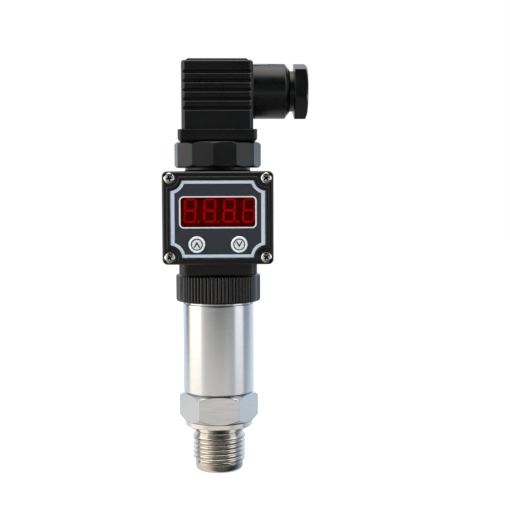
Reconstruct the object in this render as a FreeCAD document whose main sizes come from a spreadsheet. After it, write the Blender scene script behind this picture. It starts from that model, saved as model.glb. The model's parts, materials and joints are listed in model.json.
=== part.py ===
import FreeCAD, Part
import math
import os
import Sketcher

# Pressure transmitter: a turned G1/2 process connection, a steel sleeve, a display head that plugs on
# under a knurled union ring, and a cable plug on top under a twelve-sided nut.
# Millimetres. Z is up and z = 0 is the end of the nose. The display faces -Y, the cable leaves along +X.

document = FreeCAD.newDocument("PressureTransmitter")
sheet = document.addObject("Spreadsheet::Sheet", "Sizes")

driving_sizes = {
    # process connection
    "nose_diameter": 18.9,
    "nose_height": 3.4,
    "nose_bevel": 1.7,
    "port_diameter": 4.0,
    "thread_diameter": 20.955,
    "thread_pitch": 1.814,
    "thread_height": 11.9,
    "thread_lead": 1.45,
    "relief_diameter": 18.2,
    "relief_height": 0.3,
    "cone_height": 2.6,
    "collar_diameter": 26.8,
    "collar_height": 1.7,
    "hexagon_flats": 27.0,
    "hexagon_height": 11.9,
    "hexagon_bevel": 1.9,
    "weld_spigot_height": 4.0,
    # sensor and its amplifier
    "sensor_diameter": 19.0,
    "sensor_height": 5.0,
    "sensor_seat_height": 24.0,
    "diaphragm_diameter": 14.0,
    "diaphragm_depth": 0.6,
    "header_diameter": 11.0,
    "header_height": 2.0,
    "sensor_ring_section": 1.3,
    "lock_ring_bore": 12.4,
    "lock_ring_height": 3.6,
    "spanner_slot_width": 2.0,
    "spanner_slot_depth": 1.2,
    "amplifier_margin": 2.6,
    "chip_size": 6.0,
    "chip_spacing": 8.4,
    # tube and threaded neck
    "tube_diameter": 27.9,
    "tube_wall": 1.0,
    "tube_height": 34.7,
    "tube_bevel": 0.4,
    "neck_thread_rise": 0.45,
    "neck_thread_height": 5.0,
    "neck_relief_depth": 1.1,
    "neck_relief_height": 1.1,
    "neck_spigot_height": 8.0,
    "neck_wall": 2.8,
    "neck_lip_width": 1.2,
    "neck_lip_height": 1.5,
    # union ring
    "union_wall": 2.1,
    "union_height": 10.5,
    "union_rise": 0.88,
    "union_edge": 0.9,
    "union_top_edge": 0.65,
    "union_lip_height": 3.2,
    "knurl_pitch": 5.0,
    "knurl_depth": 0.6,
    "knurl_land": 0.2,
    "knurl_run": 21,
    "grip_count": 3,
    "grip_turn": -96.0,
    "clip_height": 1.1,
    "clip_depth": 1.0,
    "clip_gap": 5.0,
    # display head
    "head_spigot_inset": 1.4,
    "head_spigot_wall": 1.6,
    "seal_drop": 3.0,
    "skirt_width": 30.0,
    "skirt_corner": 4.0,
    "skirt_edge": 0.4,
    "skirt_height": 5.2,
    "bezel_width": 41.4,
    "bezel_height": 34.7,
    "bezel_corner": 2.0,
    "bezel_edge": 0.7,
    "bezel_depth": 6.5,
    "bezel_front": 24.8,
    "bezel_wall": 2.4,
    "gasket_thickness": 0.8,
    "case_inset": 0.5,
    "case_wall": 2.0,
    "case_rear": 18.0,
    "case_edge": 2.0,
    "ridge_width": 1.1,
    "ridge_height": 0.5,
    "ridge_offset": 0.3,
    "screw_spacing_wide": 35.9,
    "screw_spacing_high": 29.4,
    "screw_head_diameter": 4.15,
    "screw_head_height": 1.5,
    "screw_diameter": 2.5,
    "screw_length": 11.0,
    "cross_width": 0.62,
    "cross_span": 3.1,
    "cross_depth": 0.9,
    "panel_width": 35.0,
    "panel_height": 28.5,
    "panel_drop": 0.4,
    "panel_thickness": 0.6,
    "panel_notch": 4.7,
    "window_width": 27.7,
    "window_height": 11.0,
    "window_corner": 1.2,
    "window_rise": 2.15,
    "filter_rim": 0.9,
    "filter_thickness": 2.0,
    "button_diameter": 6.2,
    "button_spacing": 15.7,
    "button_drop": 9.8,
    "button_rise": 0.9,
    "button_bevel": 0.3,
    "button_dish_diameter": 3.85,
    "button_travel": 0.4,
    "button_flange": 1.0,
    "button_flange_thickness": 0.8,
    "button_stem_diameter": 3.2,
    "switch_size": 6.0,
    "switch_height": 3.5,
    "plunger_diameter": 3.4,
    "plunger_rise": 1.2,
    "plunger_depth": 0.8,
    "display_width": 30.2,
    "display_height": 14.0,
    "display_depth": 7.0,
    "board_width": 35.4,
    "board_height": 28.8,
    "board_thickness": 1.6,
    "board_spacing": 17.5,
    "spacer_flats": 4.0,
    "spacer_spacing_wide": 26.0,
    "spacer_spacing_high": 14.0,
    "header_length": 12.7,
    "header_width": 2.6,
    # head nut and upper socket
    "top_neck_diameter": 25.5,
    "top_neck_height": 6.4,
    "top_neck_bore": 19.6,
    "flare_width": 1.0,
    "nut_corners": 34.0,
    "nut_height": 9.9,
    "nut_rise": 1.45,
    "nut_bevel": 0.7,
    "nut_lip_height": 3.0,
    "nut_turn": -5.0,
    "socket_spigot_diameter": 20.4,
    "socket_foot_height": 1.6,
    "flange_overhang": 1.45,
    "flange_corner": 1.9,
    "flange_height": 4.5,
    "flange_taper_height": 0.9,
    "flange_taper": 0.5,
    "socket_island_inset": 3.65,
    "socket_island_height": 2.2,
    # plug
    "plug_width": 27.3,
    "plug_height": 26.1,
    "plug_wall": 2.2,
    "plug_corner": 1.3,
    "plateau_width": 23.2,
    "plateau_height": 0.65,
    "plateau_edge": 0.5,
    "groove_count": 5,
    "groove_pitch": 3.45,
    "groove_width": 1.8,
    "groove_depth": 1.0,
    "first_groove_drop": 4.5,
    "outlet_diameter": 21.3,
    "outlet_length": 13.0,
    "outlet_rise": 15.15,
    "outlet_edge": 0.45,
    "outlet_lip_diameter": 19.4,
    "outlet_lip_length": 1.4,
    "outlet_lip_bevel": 1.3,
    "outlet_shoulder": 1.0,
    "throat_diameter": 14.0,
    "plug_rim": 1.45,
    "plug_gasket_thickness": 1.3,
    "block_height": 16.0,
    "blade_width": 6.3,
    "blade_thickness": 0.8,
    "blade_reach": 13.0,
    "blade_taper": 1.2,
    "lower_blade_reach": 12.0,
    "blade_offset": 7.4,
    "lower_blade_circle": 0.673,
    "lower_well_web": 0.65,
    "sleeve_wall": 0.6,
    "sleeve_height": 11.0,
    "sleeve_cap_height": 1.6,
    "sleeve_block_width": 3.8,
    "terminal_head_diameter": 4.4,
    "terminal_head_height": 1.4,
    "centre_screw_diameter": 3.0,
    "centre_head_diameter": 5.4,
    "centre_head_height": 1.7,
    "screw_seal_thickness": 0.6,
    # gland
    "gland_thread_diameter": 15.7,
    "gland_flats": 19.6,
    "gland_head_thickness": 5.1,
    "gland_step": 3.2,
    "gland_bore": 9.8,
    "gland_bevel": 0.8,
    "gland_flare": 1.0,
    "gland_turn": 15.0,
    "cable_bore": 7.0,
    "grommet_length": 5.0,
    "washer_thickness": 0.8,
    # clearances
    "running_gap": 0.07,
    "slip_gap": 0.1,
    "free_gap": 0.3,
}

for row, (size_name, number) in enumerate(driving_sizes.items(), start=1):
    sheet.set(f"A{row}", size_name)
    sheet.set(f"B{row}", str(number))
    sheet.setAlias(f"B{row}", size_name)
document.recompute()


class Length:
    # A number together with the sheet expression that gives it.
    def __init__(self, value, text):
        self.value = value
        self.text = text

    def __add__(self, other):
        other = length(other)
        return Length(self.value + other.value, f"({self.text} + {other.text})")

    def __sub__(self, other):
        other = length(other)
        return Length(self.value - other.value, f"({self.text} - {other.text})")

    def __mul__(self, other):
        other = length(other)
        return Length(self.value * other.value, f"({self.text} * {other.text})")

    def __truediv__(self, other):
        other = length(other)
        return Length(self.value / other.value, f"({self.text} / {other.text})")

    def __radd__(self, other):
        return length(other) + self

    def __rsub__(self, other):
        return length(other) - self

    def __rmul__(self, other):
        return length(other) * self

    def __neg__(self):
        return self * -1


def length(item):
    if isinstance(item, Length):
        return item
    return Length(float(item), f"({float(item)})")


class Sizes:
    pass


s = Sizes()
for size_name in driving_sizes:
    setattr(s, size_name, Length(float(sheet.get(size_name)), f"Sizes.{size_name}"))


def bind(thing, path, size):
    size = length(size)
    thing.setExpression(path, size.text)


sub_parts = []


def new_body(label):
    body = document.addObject("PartDesign::Body", label)
    body.Label = label
    sub_parts.append(body)
    return body


def place(thing, x=0, y=0, z=0):
    for axis, size in (("x", x), ("y", y), ("z", z)):
        bind(thing, f".Placement.Base.{axis}", size)
    return thing


def sketch_on(body, plane, offset=0):
    # XY looks down on the part; XZ has its normal towards -Y, the front; YZ has its normal towards +X.
    sketch = body.newObject("Sketcher::SketchObject", "Sketch")
    origin_plane = next(item for item in body.Origin.OriginFeatures if item.Role == plane)
    sketch.AttachmentSupport = [(origin_plane, "")]
    sketch.MapMode = "FlatFace"
    offset = length(offset)
    sketch.AttachmentOffset = FreeCAD.Placement(FreeCAD.Vector(0, 0, offset.value), FreeCAD.Rotation())
    bind(sketch, ".AttachmentOffset.Base.z", offset)
    return sketch


def fix_number(sketch, kind, size, *ends):
    index = sketch.addConstraint(Sketcher.Constraint(kind, *ends, size.value))
    sketch.setExpression(f"Constraints[{index}]", size.text)


def fix_point(sketch, line, end, x, y):
    vertical_axis = -2
    horizontal_axis = -1
    ways = (("DistanceX", length(x), vertical_axis), ("DistanceY", length(y), horizontal_axis))
    for kind, size, axis in ways:
        if size.value == 0:
            sketch.addConstraint(Sketcher.Constraint("PointOnObject", line, end, axis))
        else:
            fix_number(sketch, kind, size, line, end)


def outline(sketch, points):
    first = sketch.GeometryCount
    corners = [FreeCAD.Vector(length(x).value, length(y).value, 0) for x, y in points]
    count = len(points)
    for index in range(count):
        sketch.addGeometry(Part.LineSegment(corners[index], corners[(index + 1) % count]), False)
    for index, (x, y) in enumerate(points):
        following = first + (index + 1) % count
        sketch.addConstraint(Sketcher.Constraint("Coincident", first + index, 2, following, 1))
        fix_point(sketch, first + index, 1, x, y)
    return sketch


def circle(sketch, x, y, radius):
    radius = length(radius)
    centre = FreeCAD.Vector(length(x).value, length(y).value, 0)
    line = sketch.addGeometry(Part.Circle(centre, FreeCAD.Vector(0, 0, 1), radius.value), False)
    fix_point(sketch, line, 3, x, y)
    fix_number(sketch, "Radius", radius, line)
    return sketch


def rectangle(sketch, half_wide, half_high, x=0, y=0):
    left, right, low, high = x - half_wide, x + half_wide, y - half_high, y + half_high
    return outline(sketch, [(left, low), (right, low), (right, high), (left, high)])


def corner_arc(sketch, x, y, radius, start, end):
    full = Part.Circle(FreeCAD.Vector(x.value, y.value, 0), FreeCAD.Vector(0, 0, 1), radius.value)
    line = sketch.addGeometry(Part.ArcOfCircle(full, start, end), False)
    fix_point(sketch, line, 3, x, y)
    fix_number(sketch, "Radius", radius, line)
    return line


def join_with_lines(sketch, arcs, joint):
    # Straight sides from the end of each arc to the start of the next.
    for index, arc in enumerate(arcs):
        following = arcs[(index + 1) % len(arcs)]
        start = sketch.Geometry[arc].EndPoint
        end = sketch.Geometry[following].StartPoint
        line = sketch.addGeometry(Part.LineSegment(start, end), False)
        sketch.addConstraint(Sketcher.Constraint(joint, arc, 2, line, 1))
        sketch.addConstraint(Sketcher.Constraint(joint, line, 2, following, 1))
        yield line


def rounded_rectangle(sketch, half_wide, half_high, radius, x=0, y=0):
    half_wide, half_high, radius = length(half_wide), length(half_high), length(radius)
    arcs = []
    for index, (side, rise) in enumerate(((1, 1), (-1, 1), (-1, -1), (1, -1))):
        centre_x = x + side * (half_wide - radius)
        centre_y = y + rise * (half_high - radius)
        start = index * math.pi / 2
        arcs.append(corner_arc(sketch, centre_x, centre_y, radius, start, start + math.pi / 2))
    for line in join_with_lines(sketch, arcs, "Tangent"):
        pass
    return sketch


def notched_rectangle(sketch, half_wide, half_high, radius, notch_x, notch_y, y=0, notch_mid=0):
    # A rectangle whose corners are clipped by circles round four points outside them.
    half_wide, half_high, radius = length(half_wide), length(half_high), length(radius)
    arcs = []
    for side, rise in ((1, 1), (-1, 1), (-1, -1), (1, -1)):
        centre_x = side * notch_x
        centre_y = notch_mid + rise * notch_y
        edge_y = y + rise * half_high
        drop = math.sqrt(radius.value ** 2 - (notch_x.value - half_wide.value) ** 2)
        inset = math.sqrt(radius.value ** 2 - (centre_y.value - edge_y.value) ** 2)
        on_side = math.atan2(-rise * drop, side * (half_wide.value - notch_x.value))
        on_edge = math.atan2(edge_y.value - centre_y.value, -side * inset)
        start, end = (on_edge, on_side) if side * rise > 0 else (on_side, on_edge)
        while end < start:
            end += 2 * math.pi
        arcs.append((corner_arc(sketch, centre_x, centre_y, radius, start, end), side * rise > 0))
    sides = (
        (0, 1, "Horizontal", y + half_high),
        (1, 2, "Vertical", -half_wide),
        (2, 3, "Horizontal", y - half_high),
        (3, 0, "Vertical", half_wide),
    )
    for here, there, direction, place_value in sides:
        arc, begins_on_edge = arcs[here]
        other, other_begins_on_edge = arcs[there]
        from_edge = direction == "Horizontal"
        leave = 1 if begins_on_edge == from_edge else 2
        arrive = 1 if other_begins_on_edge == from_edge else 2
        ends = [
            getattr(sketch.Geometry[line], "StartPoint" if end == 1 else "EndPoint")
            for line, end in ((arc, leave), (other, arrive))
        ]
        line = sketch.addGeometry(Part.LineSegment(*ends), False)
        sketch.addConstraint(Sketcher.Constraint("Coincident", arc, leave, line, 1))
        sketch.addConstraint(Sketcher.Constraint("Coincident", line, 2, other, arrive))
        sketch.addConstraint(Sketcher.Constraint(direction, line))
        kind = "DistanceY" if direction == "Horizontal" else "DistanceX"
        fix_number(sketch, kind, length(place_value), line, 1)
    return sketch


def polygon(sketch, count, radius, turn=0, x=0, y=0):
    # turn is in degrees, from the sketch's own X axis to the first corner.
    points = []
    for index in range(count):
        angle = math.radians(turn + 360 * index / count)
        points.append((x + radius * math.cos(angle), y + radius * math.sin(angle)))
    return outline(sketch, points)


def pad(body, sketch, height, reverse=False):
    feature = body.newObject("PartDesign::Pad", "Pad")
    feature.Profile = sketch
    feature.Reversed = reverse
    bind(feature, "Length", height)
    return feature


def cut(body, sketch, depth, forward=False):
    # Cuts against the sketch's normal, or along it when forward is set.
    document.recompute()
    before = body.Shape.Volume
    feature = body.newObject("PartDesign::Pocket", "Pocket")
    feature.Profile = sketch
    feature.Type = "Length"
    feature.Reversed = forward
    bind(feature, "Length", depth)
    document.recompute()
    if body.Shape.Volume >= before:
        raise RuntimeError(f"{body.Label}: {feature.Name} cuts nothing")
    return feature


def turn_on(body, sketch, axis="V_Axis", kind="PartDesign::Revolution"):
    document.recompute()
    before = body.Shape.Volume if body.Tip else 0
    feature = body.newObject(kind, kind.split("::")[1])
    feature.Profile = sketch
    feature.ReferenceAxis = (sketch, [axis])
    feature.Angle = 360
    document.recompute()
    if kind.endswith("Groove") and body.Shape.Volume >= before:
        raise RuntimeError(f"{body.Label}: {feature.Name} cuts nothing")
    return feature


def turned(label, points, plane="XZ_Plane", axis="V_Axis"):
    body = new_body(label)
    turn_on(body, outline(sketch_on(body, plane), points), axis)
    return body


def groove(body, points, plane="XZ_Plane", axis="V_Axis"):
    return turn_on(body, outline(sketch_on(body, plane), points), axis, "PartDesign::Groove")


def round_pattern(body, count, angle):
    # One step of a multiple pattern: count places round Z, spread over the angle.
    pattern = document.addObject("PartDesign::PolarPattern", "PolarPattern")
    axis = next(item for item in body.Origin.OriginFeatures if item.Role == "Z_Axis")
    pattern.Axis = (axis, [""])
    bind(pattern, "Angle", angle)
    bind(pattern, "Occurrences", count)
    return pattern


def edges_where(shape, test):
    return [f"Edge{index}" for index, edge in enumerate(shape.Edges, start=1) if test(edge)]


def dress(body, kind, size, test):
    # A fillet or chamfer on the edges that pass the test.
    document.recompute()
    base = body.Tip
    names = edges_where(base.Shape, test)
    if not names:
        raise RuntimeError(f"{body.Label}: no edge to dress")
    feature = body.newObject(kind, kind.split("::")[1])
    feature.Base = (base, names)
    bind(feature, "Radius" if kind.endswith("Fillet") else "Size", size)
    document.recompute()
    return feature


def near(value, size):
    return abs(value - length(size).value) < 1e-4


def lies_at(edge, **limits):
    box = edge.BoundBox
    return all(
        near(getattr(box, axis + "Min"), size) and near(getattr(box, axis + "Max"), size)
        for axis, size in limits.items()
    )


def copies(label, prototype, placements):
    # Identical pieces that share a node, each a solid of its own.
    document.recompute()
    solids = []
    for placement in placements:
        solid = prototype.Shape.copy()
        solid.Placement = placement.multiply(solid.Placement)
        solids.append(solid)
    group = document.addObject("Part::Feature", label)
    group.Label = label
    group.Shape = Part.makeCompound(solids)
    sub_parts.append(group)
    return group


def prototype_of(body):
    # A body that is only copied isn't a sub-part itself.
    sub_parts.remove(body)
    return body


def seal_ring(label, radius, section, z):
    # An O-ring of eight flats, which bear on its groove and its bore where the round one does.
    sides = 8
    body = new_body(label)
    corner = section / 2 / math.cos(math.pi / sides)
    turn_on(body, polygon(sketch_on(body, "XZ_Plane"), sides, corner, 180 / sides, radius, z))
    return body


def at(x=0, y=0, z=0, turn=0):
    where = FreeCAD.Vector(length(x).value, length(y).value, length(z).value)
    return FreeCAD.Placement(where, FreeCAD.Rotation(FreeCAD.Vector(0, 0, 1), turn))


# Heights up the part, each from the one below.
thread_radius = s.thread_diameter / 2
thread_depth = s.thread_pitch * 0.640327
thread_top = s.nose_height + s.thread_height
relief_top = thread_top + s.relief_height
hexagon_bottom = relief_top + s.cone_height + s.collar_height
hexagon_top = hexagon_bottom + s.hexagon_height
tube_top = hexagon_top + s.tube_height
union_bottom = tube_top + s.union_rise
union_top = union_bottom + s.union_height
neck_top = tube_top + s.neck_relief_height + s.neck_thread_height
skirt_bottom = union_top + s.free_gap
bezel_bottom = skirt_bottom + s.skirt_height
bezel_top = bezel_bottom + s.bezel_height
bezel_middle = bezel_bottom + s.bezel_height / 2
nut_bottom = bezel_top + s.nut_rise
nut_top = nut_bottom + s.nut_height
top_neck_end = bezel_top + s.top_neck_height
flange_bottom = nut_top + s.slip_gap
flange_top = flange_bottom + s.flange_height
plug_top = flange_top + s.plug_height
outlet_height = flange_top + s.outlet_rise

tube_inner_radius = s.tube_diameter / 2 - s.tube_wall
neck_thread_radius = s.tube_diameter / 2 + s.neck_thread_rise
neck_bore_radius = neck_thread_radius - s.neck_wall
head_spigot_radius = neck_thread_radius - s.head_spigot_inset
plug_half = s.plug_width / 2
outlet_reach = plug_half + s.outlet_length
plug_gasket_half = plug_half - s.plug_rim
socket_island_half = plug_half - s.socket_island_inset

# The head's own plug in the neck: its blades stand at a share of the block's radius, and are as
# wide as four wells side by side allow.
lower_block_radius = neck_bore_radius - s.slip_gap - s.head_spigot_wall - s.slip_gap
lower_blade_offset = lower_block_radius * s.lower_blade_circle
lower_well_thick = s.sleeve_block_width / 2 + s.slip_gap
lower_well_wide = lower_blade_offset - lower_well_thick - s.lower_well_web
lower_blade_half = lower_well_wide - s.sleeve_wall - 2 * s.slip_gap
screw_x = s.screw_spacing_wide / 2
screw_z = s.screw_spacing_high / 2
case_front = s.bezel_front - s.bezel_depth - s.gasket_thickness
case_half_width = s.bezel_width / 2 - s.case_inset
case_half_height = s.bezel_height / 2 - s.case_inset
case_top = bezel_top - s.case_inset
case_bottom = bezel_bottom + s.case_inset
panel_floor = s.bezel_front - s.panel_thickness
wall_back = panel_floor - s.bezel_wall
display_front = wall_back - s.slip_gap
board_front = display_front - s.display_depth
board_back = board_front - s.board_thickness
main_board_front = board_back - s.board_spacing
main_board_back = main_board_front - s.board_thickness


def process_connection():
    # Nose, thread, relief, cone, collar and hexagon, turned and milled from one bar.
    spigot_radius = tube_inner_radius - s.slip_gap
    spigot_top = hexagon_top + s.weld_spigot_height
    nose_radius = s.nose_diameter / 2
    minor_radius = thread_radius - thread_depth
    collar_radius = s.collar_diameter / 2
    # The nose's rounding is cut as two bevels that touch its arc half way.
    arc_share = 1 - math.sqrt(0.5)
    body = turned("process_connection", [
        (0, 0),
        (nose_radius - s.nose_bevel, 0),
        (nose_radius - s.nose_bevel * arc_share, s.nose_bevel * arc_share),
        (nose_radius, s.nose_bevel),
        (nose_radius, s.nose_height),
        (thread_radius, s.nose_height + thread_depth),
        (thread_radius, thread_top - s.thread_lead),
        (minor_radius, thread_top),
        (s.relief_diameter / 2, thread_top),
        (s.relief_diameter / 2, relief_top),
        (collar_radius, relief_top + s.cone_height),
        (collar_radius, hexagon_bottom),
        (spigot_radius, hexagon_bottom),
        (spigot_radius, spigot_top),
        (0, spigot_top),
    ])
    corner_radius = s.hexagon_flats / 2 / math.cos(math.pi / 6)
    pad(body, polygon(sketch_on(body, "XY_Plane", hexagon_bottom), 6, corner_radius), s.hexagon_height)
    # Both end faces are round, as wide as the collar, and a cone falls from them to the corners.
    beyond = 2 * corner_radius - collar_radius
    for face, direction in ((hexagon_bottom, 1), (hexagon_top, -1)):
        groove(body, [
            (collar_radius, face),
            (beyond, face),
            (beyond, face + direction * 2 * s.hexagon_bevel),
        ])
    port_radius = s.port_diameter / 2
    pocket_radius = s.sensor_diameter / 2 + s.slip_gap
    groove(body, [
        (0, 0),
        (port_radius, 0),
        (port_radius, s.sensor_seat_height),
        (pocket_radius, s.sensor_seat_height),
        (pocket_radius, spigot_top),
        (0, spigot_top),
    ])


def sensor():
    # Oil-filled cell with a recessed diaphragm, sealed on its rim and held by a lock ring.
    seat = s.sensor_seat_height
    cell_top = seat + s.sensor_height
    cell_radius = s.sensor_diameter / 2
    groove_floor = cell_radius - s.sensor_ring_section - s.slip_gap
    groove_low = seat + (s.sensor_height - s.sensor_ring_section) / 2 - s.slip_gap
    groove_high = groove_low + s.sensor_ring_section + 2 * s.slip_gap
    turned("sensor_cell", [
        (0, seat + s.diaphragm_depth),
        (s.diaphragm_diameter / 2, seat + s.diaphragm_depth),
        (s.diaphragm_diameter / 2, seat),
        (cell_radius, seat),
        (cell_radius, groove_low),
        (groove_floor, groove_low),
        (groove_floor, groove_high),
        (cell_radius, groove_high),
        (cell_radius, cell_top),
        (s.header_diameter / 2, cell_top),
        (s.header_diameter / 2, cell_top + s.header_height),
        (0, cell_top + s.header_height),
    ])
    ring_radius = cell_radius - s.sensor_ring_section / 2
    seal_ring("sensor_o_ring", ring_radius, s.sensor_ring_section, (groove_low + groove_high) / 2)
    lock_top = cell_top + s.lock_ring_height
    ring = turned("sensor_lock_ring", [
        (s.lock_ring_bore / 2, cell_top),
        (cell_radius, cell_top),
        (cell_radius, lock_top),
        (s.lock_ring_bore / 2, lock_top),
    ])
    slots = sketch_on(ring, "XY_Plane", lock_top)
    rectangle(slots, cell_radius + 1, s.spanner_slot_width / 2)
    cut(ring, slots, s.spanner_slot_depth)
    return cell_top


def tube_and_neck():
    outer = s.tube_diameter / 2
    turned("body_tube", [
        (tube_inner_radius, hexagon_top),
        (outer, hexagon_top),
        (outer, tube_top - s.tube_bevel),
        (outer - s.tube_bevel, tube_top),
        (tube_inner_radius, tube_top),
    ])
    relief = neck_thread_radius - s.neck_relief_depth
    relief_end = tube_top + s.neck_relief_height
    neck_bottom = tube_top - s.neck_spigot_height
    lip_radius = neck_bore_radius - s.neck_lip_width
    lip_top = neck_bottom + s.neck_lip_height
    turned("threaded_neck", [
        (lip_radius, neck_bottom),
        (tube_inner_radius - s.slip_gap, neck_bottom),
        (tube_inner_radius - s.slip_gap, tube_top),
        (relief, tube_top),
        (relief, relief_end),
        (neck_thread_radius, relief_end),
        (neck_thread_radius, neck_top),
        (neck_bore_radius, neck_top),
        (neck_bore_radius, lip_top),
        (lip_radius, lip_top),
    ])
    return lip_top


def blade(half, reach):
    # Flat male contact with a tapered tip, standing on its own origin.
    body = new_body("blade")
    shoulder = reach - s.blade_taper
    sketch = sketch_on(body, "XZ_Plane", -s.blade_thickness / 2)
    outline(sketch, [
        (-half, 0),
        (half, 0),
        (half, shoulder),
        (half - s.blade_thickness, reach),
        (s.blade_thickness - half, reach),
        (-half, shoulder),
    ])
    pad(body, sketch, s.blade_thickness)
    return prototype_of(body)


def contact_sleeve(blade_half, with_screw):
    # Folded female contact: a flat tube closed by a block, which may carry a slotted terminal screw.
    body = new_body("contact_sleeve")
    half_wide = blade_half + s.slip_gap + s.sleeve_wall
    half_thick = s.blade_thickness / 2 + s.slip_gap + s.sleeve_wall
    block_half = s.sleeve_block_width / 2
    pad(body, rectangle(sketch_on(body, "XY_Plane"), half_wide, half_thick), s.sleeve_height)
    block = rectangle(sketch_on(body, "XY_Plane", s.sleeve_height), half_wide, block_half)
    pad(body, block, s.sleeve_cap_height)
    opening = sketch_on(body, "XY_Plane")
    rectangle(opening, half_wide - s.sleeve_wall, half_thick - s.sleeve_wall)
    cut(body, opening, s.sleeve_height, forward=True)
    if with_screw:
        block_top = s.sleeve_height + s.sleeve_cap_height
        screw_top = block_top + s.terminal_head_height
        head = circle(sketch_on(body, "XY_Plane", block_top), 0, 0, s.terminal_head_diameter / 2)
        pad(body, head, s.terminal_head_height)
        slot = sketch_on(body, "XY_Plane", screw_top)
        rectangle(slot, s.terminal_head_diameter, s.blade_thickness / 2)
        cut(body, slot, s.terminal_head_height / 2)
    return prototype_of(body)


def around(offset, height):
    # Four contact places: two at the sides, one behind and one in front.
    return [
        at(offset, 0, height, 90),
        at(-offset, 0, height, 90),
        at(0, offset, height, 0),
        at(0, -offset, height, 0),
    ]


def blade_slots(body, offset, base, depth, half_wide, half_thick, forward):
    for x, y, wide, thick in (
        (offset, 0, half_thick, half_wide),
        (-offset, 0, half_thick, half_wide),
        (0, offset, half_wide, half_thick),
        (0, -offset, half_wide, half_thick),
    ):
        cut(body, rectangle(sketch_on(body, "XY_Plane", base), wide, thick, x, y), depth, forward)


def lower_connector(lip_top):
    # Four-blade socket on the neck's lip, and the block with sleeves that the head plugs on.
    disc_radius = neck_bore_radius - s.slip_gap
    disc_height = s.neck_lip_height * 2
    socket = turned("lower_socket", [
        (0, lip_top),
        (disc_radius, lip_top),
        (disc_radius, lip_top + disc_height),
        (0, lip_top + disc_height),
    ])
    slot_wide = lower_blade_half + s.running_gap
    slot_thick = s.blade_thickness / 2 + s.running_gap
    blade_slots(socket, lower_blade_offset, lip_top, disc_height, slot_wide, slot_thick, True)
    blades = blade(lower_blade_half, s.lower_blade_reach)
    copies("lower_blades", blades, around(lower_blade_offset, lip_top))

    block_bottom = lip_top + disc_height + s.free_gap
    sleeve_top = block_bottom + s.sleeve_height + s.sleeve_cap_height
    block_top = sleeve_top + s.blade_thickness
    block = turned("lower_plug_block", [
        (0, block_bottom),
        (lower_block_radius, block_bottom),
        (lower_block_radius, block_top),
        (0, block_top),
    ])
    depth = block_top - block_bottom
    blade_slots(block, lower_blade_offset, block_bottom, depth, lower_well_wide, lower_well_thick, True)
    sleeves = contact_sleeve(lower_blade_half, with_screw=False)
    copies("lower_sleeves", sleeves, around(lower_blade_offset, block_bottom))
    return block_top


def amplifier(cell_top, lip_top):
    # Upright board between the sensor's header and the socket, with its parts on one face.
    body = new_body("amplifier_board")
    bottom = cell_top + s.header_height
    shoulder = hexagon_top + s.weld_spigot_height + s.free_gap
    tongue = s.header_diameter / 2 - s.free_gap
    half = tube_inner_radius - s.amplifier_margin
    neck_half = neck_bore_radius - s.neck_lip_width - s.free_gap
    neck_bottom = tube_top - s.neck_spigot_height - s.free_gap
    sketch = sketch_on(body, "XZ_Plane", -s.board_thickness / 2)
    outline(sketch, [
        (-tongue, bottom),
        (tongue, bottom),
        (tongue, shoulder),
        (half, shoulder),
        (half, neck_bottom),
        (neck_half, neck_bottom),
        (neck_half, lip_top),
        (-neck_half, lip_top),
        (-neck_half, neck_bottom),
        (-half, neck_bottom),
        (-half, shoulder),
        (-tongue, shoulder),
    ])
    pad(body, sketch, s.board_thickness)
    chip = new_body("amplifier_chip")
    pad(chip, rectangle(sketch_on(chip, "XZ_Plane"), s.chip_size / 2, s.chip_size / 2), s.board_thickness)
    middle = (shoulder + neck_bottom) / 2
    face = -s.board_thickness / 2
    copies("amplifier_chips", prototype_of(chip), [
        at(-s.chip_spacing / 2, face, middle - s.chip_spacing),
        at(s.chip_spacing / 2, face, middle - s.chip_spacing),
        at(0, face, middle + s.chip_spacing),
    ])


def union_ring():
    # Knurled ring: runs on the neck's thread, kept on the head's spigot by its top lip and a clip.
    thread = neck_thread_radius + s.running_gap
    outer = thread + s.union_wall
    lip_radius = head_spigot_radius + s.running_gap
    lip_bottom = union_top - s.union_lip_height
    body = turned("union_ring", [
        (thread, union_bottom),
        (outer, union_bottom),
        (outer, union_top),
        (lip_radius, union_top),
        (lip_radius, lip_bottom),
        (thread, lip_bottom),
    ])
    for edge_size, height in ((s.union_edge, union_bottom), (s.union_top_edge, union_top)):
        dress(body, "PartDesign::Chamfer", edge_size, lambda edge: (
            edge.Curve.TypeId == "Part::GeomCircle" and near(edge.Curve.Radius, outer)
            and lies_at(edge, Z=height)
        ))
    flute = sketch_on(body, "XY_Plane", union_bottom)
    # The flutes meet the rim with a narrow land between them.
    half_pitch = math.radians(driving_sizes["knurl_pitch"]) / 2
    half_width = outer * math.sin(half_pitch) * (1 - s.knurl_land)
    outline(flute, [
        (-2 * half_width, outer + s.knurl_depth),
        (0, outer - s.knurl_depth),
        (2 * half_width, outer + s.knurl_depth),
    ])
    bind(flute, ".AttachmentOffset.Rotation.Angle", s.grip_turn)
    first = cut(body, flute, s.union_height, forward=True)
    knurls = body.newObject("PartDesign::MultiTransform", "MultiTransform")
    knurls.Originals = [first]
    knurls.Transformations = [
        round_pattern(body, s.knurl_run, s.knurl_pitch * (s.knurl_run - 1)),
        round_pattern(body, s.grip_count, 360),
    ]
    body.Tip = knurls
    document.recompute()

    clip_outer = thread - s.free_gap
    clip_inner = head_spigot_radius - s.clip_depth + s.slip_gap
    clip_low = lip_bottom - s.clip_height - s.slip_gap
    clip = turned("ring_clip", [
        (clip_inner, clip_low),
        (clip_outer, clip_low),
        (clip_outer, clip_low + s.clip_height),
        (clip_inner, clip_low + s.clip_height),
    ])
    gap = sketch_on(clip, "XY_Plane", clip_low)
    rectangle(gap, s.clip_gap / 2, thread / 2, 0, thread)
    cut(clip, gap, s.clip_height, forward=True)
    return clip_low


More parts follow.
